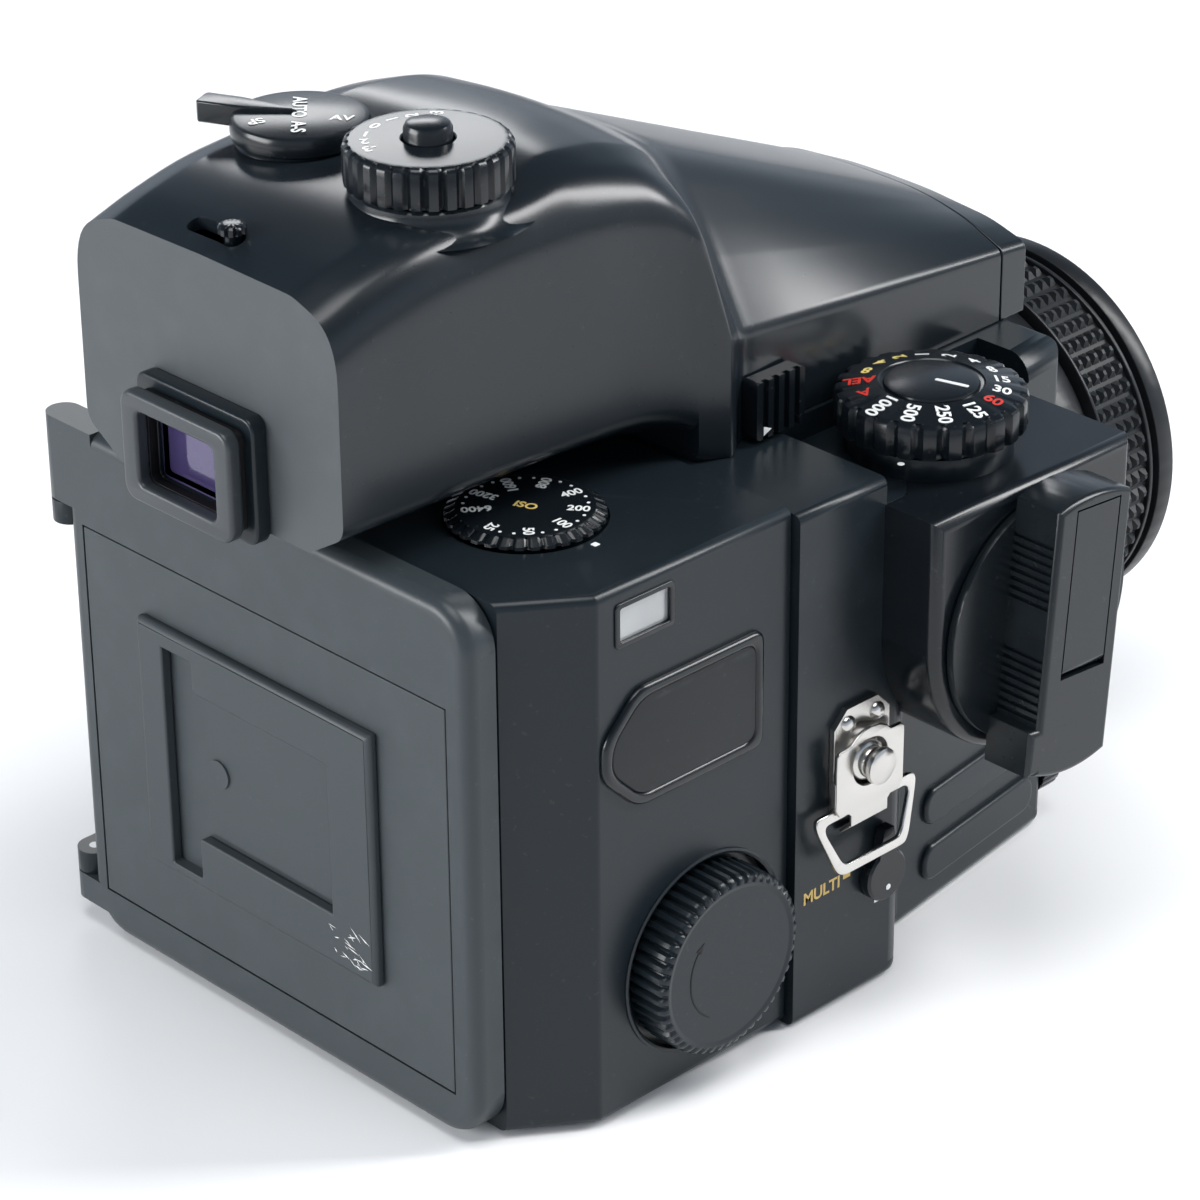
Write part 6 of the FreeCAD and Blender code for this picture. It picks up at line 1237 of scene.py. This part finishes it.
def build_scratches():
    random.seed(SCRATCH_SEED)
    corners, faces = [], []
    for _ in range(SCRATCHES):
        x = random.uniform(-25.5, -17.0)
        z = random.uniform(24.0, 30.0)
        length = random.uniform(0.5, 3.2)
        lean = random.uniform(-0.5, 0.9)
        wide = random.uniform(0.04, 0.12)
        dx, dz = math.cos(lean) * length / 2, math.sin(lean) * length / 2
        nx, nz = -math.sin(lean) * wide, math.cos(lean) * wide
        first = len(corners)
        corners += [(x + side, HOLDER_FACE_Y, z + rise) for side, rise in ((-dx, -dz), (nx, nz), (dx, dz),
                                                                           (-nx, -nz))]
        faces.append((first, first + 1, first + 2, first + 3))
    return piece_from("memo_scratches", corners, faces, white_paint, "door")


scratches = build_scratches()
print("scratches", len(scratches.data.polygons))


# %% [markdown]
# ## Table
# The camera stands on a white sweep that meets a white backdrop. A curved sheet would show a soft band
# where it bends, so the floor is one plain, very large plane, a hair below the camera's foot, and the
# backdrop is left to the room. The floor's job is to hold the soft shadow and to light the camera from
# below.

# %% Floor
FLOOR_SIZE, BELOW_FOOT = 8.0, -0.0004


def build_floor():
    bpy.ops.mesh.primitive_plane_add(size=FLOOR_SIZE, location=(0, 0, BELOW_FOOT))
    floor = bpy.context.object
    floor.name = "table"
    material = bpy.data.materials.new("white_table")
    material.use_nodes = True
    shader = material.node_tree.nodes["Principled BSDF"]
    shader.inputs["Base Color"].default_value = (0.9, 0.9, 0.9, 1)
    shader.inputs["Roughness"].default_value = 0.6
    floor.data.materials.append(material)
    return floor


print("floor", build_floor().name)


# %% [markdown]
# ## Camera
# The photograph was taken with a long lens, from behind and above the right side. The place of the eye
# was solved from straight seams and round dials. A Track To constraint would aim the camera but not tilt
# it, so its matrix is built from three directions, which hold the picture's small roll as well.

# %% Camera
EYE = Vector((-0.4629, 0.4718, 0.3891))
AZIMUTH, ELEVATION, ROLL = math.radians(VIEW_TURN), math.radians(27.6), math.radians(-0.47)
FOCAL_LENGTH, SENSOR_WIDTH = 129.0, 36.0


def build_camera():
    away = Vector((math.sin(AZIMUTH) * math.cos(ELEVATION), -math.cos(AZIMUTH) * math.cos(ELEVATION),
                   math.sin(ELEVATION)))
    right = Vector((0, 0, 1)).cross(away).normalized()
    up = away.cross(right)
    tilt_right = right * math.cos(ROLL) + up * math.sin(ROLL)
    tilt_up = up * math.cos(ROLL) - right * math.sin(ROLL)
    lens = bpy.data.cameras.new("view")
    lens.lens = FOCAL_LENGTH
    lens.sensor_width = SENSOR_WIDTH
    lens.clip_start = 0.01
    camera = bpy.data.objects.new("view", lens)
    scene.collection.objects.link(camera)
    turn = Matrix((tilt_right, tilt_up, away)).transposed()
    camera.matrix_world = Matrix.Translation(EYE) @ turn.to_4x4()
    scene.camera = camera


build_camera()
print("camera", [round(value, 3) for value in scene.camera.location], "focal length", FOCAL_LENGTH)


# %% [markdown]
# ## Room
# Glossy black shows its surroundings more than its own colour. A studio could be built from white boards,
# but a ramp over the height of each ray draws the same room with no mesh: pale near the horizon, dark
# overhead, which leaves the camera's top nearly black. Rays from the camera itself see plain white.

# %% Room light
# Height of the ray, from the horizon up, and the room's colour there
ROOM_RAMP = [(0.0, (0.2, 0.22, 0.25)), (0.6, (0.02, 0.026, 0.036)), (0.16, (0.24, 0.27, 0.31)),
             (0.42, (0.14, 0.17, 0.21))]
ROOM_STRENGTH = 2.6


def build_room():
    world = bpy.data.worlds.new("room")
    scene.world = world
    world.use_nodes = True
    tree = world.node_tree
    tree.nodes.clear()
    place = add(tree, "ShaderNodeTexCoord")
    split = add(tree, "ShaderNodeSeparateXYZ", [("Vector", place.outputs["Generated"])])
    ramp = add(tree, "ShaderNodeValToRGB", [("Fac", split.outputs["Z"])])
    stops_of_ramp = ramp.color_ramp.elements
    for index, (height, colour) in enumerate(ROOM_RAMP):
        if index < 2:
            stops_of_ramp[index].position = height
        stop = stops_of_ramp[index] if index < 2 else stops_of_ramp.new(height)
        stop.color = (*colour, 1)
    room = add(tree, "ShaderNodeBackground", [("Color", ramp.outputs["Color"])], Strength=ROOM_STRENGTH)
    white = add(tree, "ShaderNodeBackground", Color=(1, 1, 1, 1), Strength=1.0)
    path = add(tree, "ShaderNodeLightPath")
    mix = add(tree, "ShaderNodeMixShader", [(0, path.outputs["Is Camera Ray"]), (1, room.outputs[0]),
                                            (2, white.outputs[0])])
    add(tree, "ShaderNodeOutputWorld", [("Surface", mix.outputs[0])])


build_room()
print("room stops", len(ROOM_RAMP))


# %% [markdown]
# ## Lamps
# The room alone would be even and dull, so four soft lamps stand in for a studio's boxes and a window.
# Point lamps would leave hard spots on the gloss, and area lamps draw broad highlights with soft ends.
# The long box is meant for the bright line along the finder, the rear box faces the door, the ceiling
# panel gives the soft shadow, and the far window is what the tops of the knobs reflect.

# %% Lamps
def area_light(name, location, target, size, watts):
    """A soft lamp at a place in metres, turned toward its target."""
    data = bpy.data.lights.new(name, "AREA")
    data.shape = "RECTANGLE"
    data.size, data.size_y = size
    data.energy = watts
    lamp = bpy.data.objects.new(name, data)
    scene.collection.objects.link(lamp)
    lamp.location = location
    lamp.rotation_euler = (Vector(target) - Vector(location)).to_track_quat("-Z", "Y").to_euler()


area_light("soft_box_right", (-0.58, -0.74, 0.88), (0, 0, 0.08), (0.3, 1.0), 16.0)
area_light("soft_box_rear", (0.45, 1.1, 0.36), (0, 0, 0.08), (0.9, 0.4), 14.0)
area_light("ceiling_panel", (-0.2, 0.25, 1.25), (0, 0, 0.05), (0.7, 0.7), 8.0)
area_light("far_window", (0.868, -0.616, 0.6), (0, 0, 0.12), (0.35, 0.26), 1.5)
scene.view_settings.view_transform = "Standard"
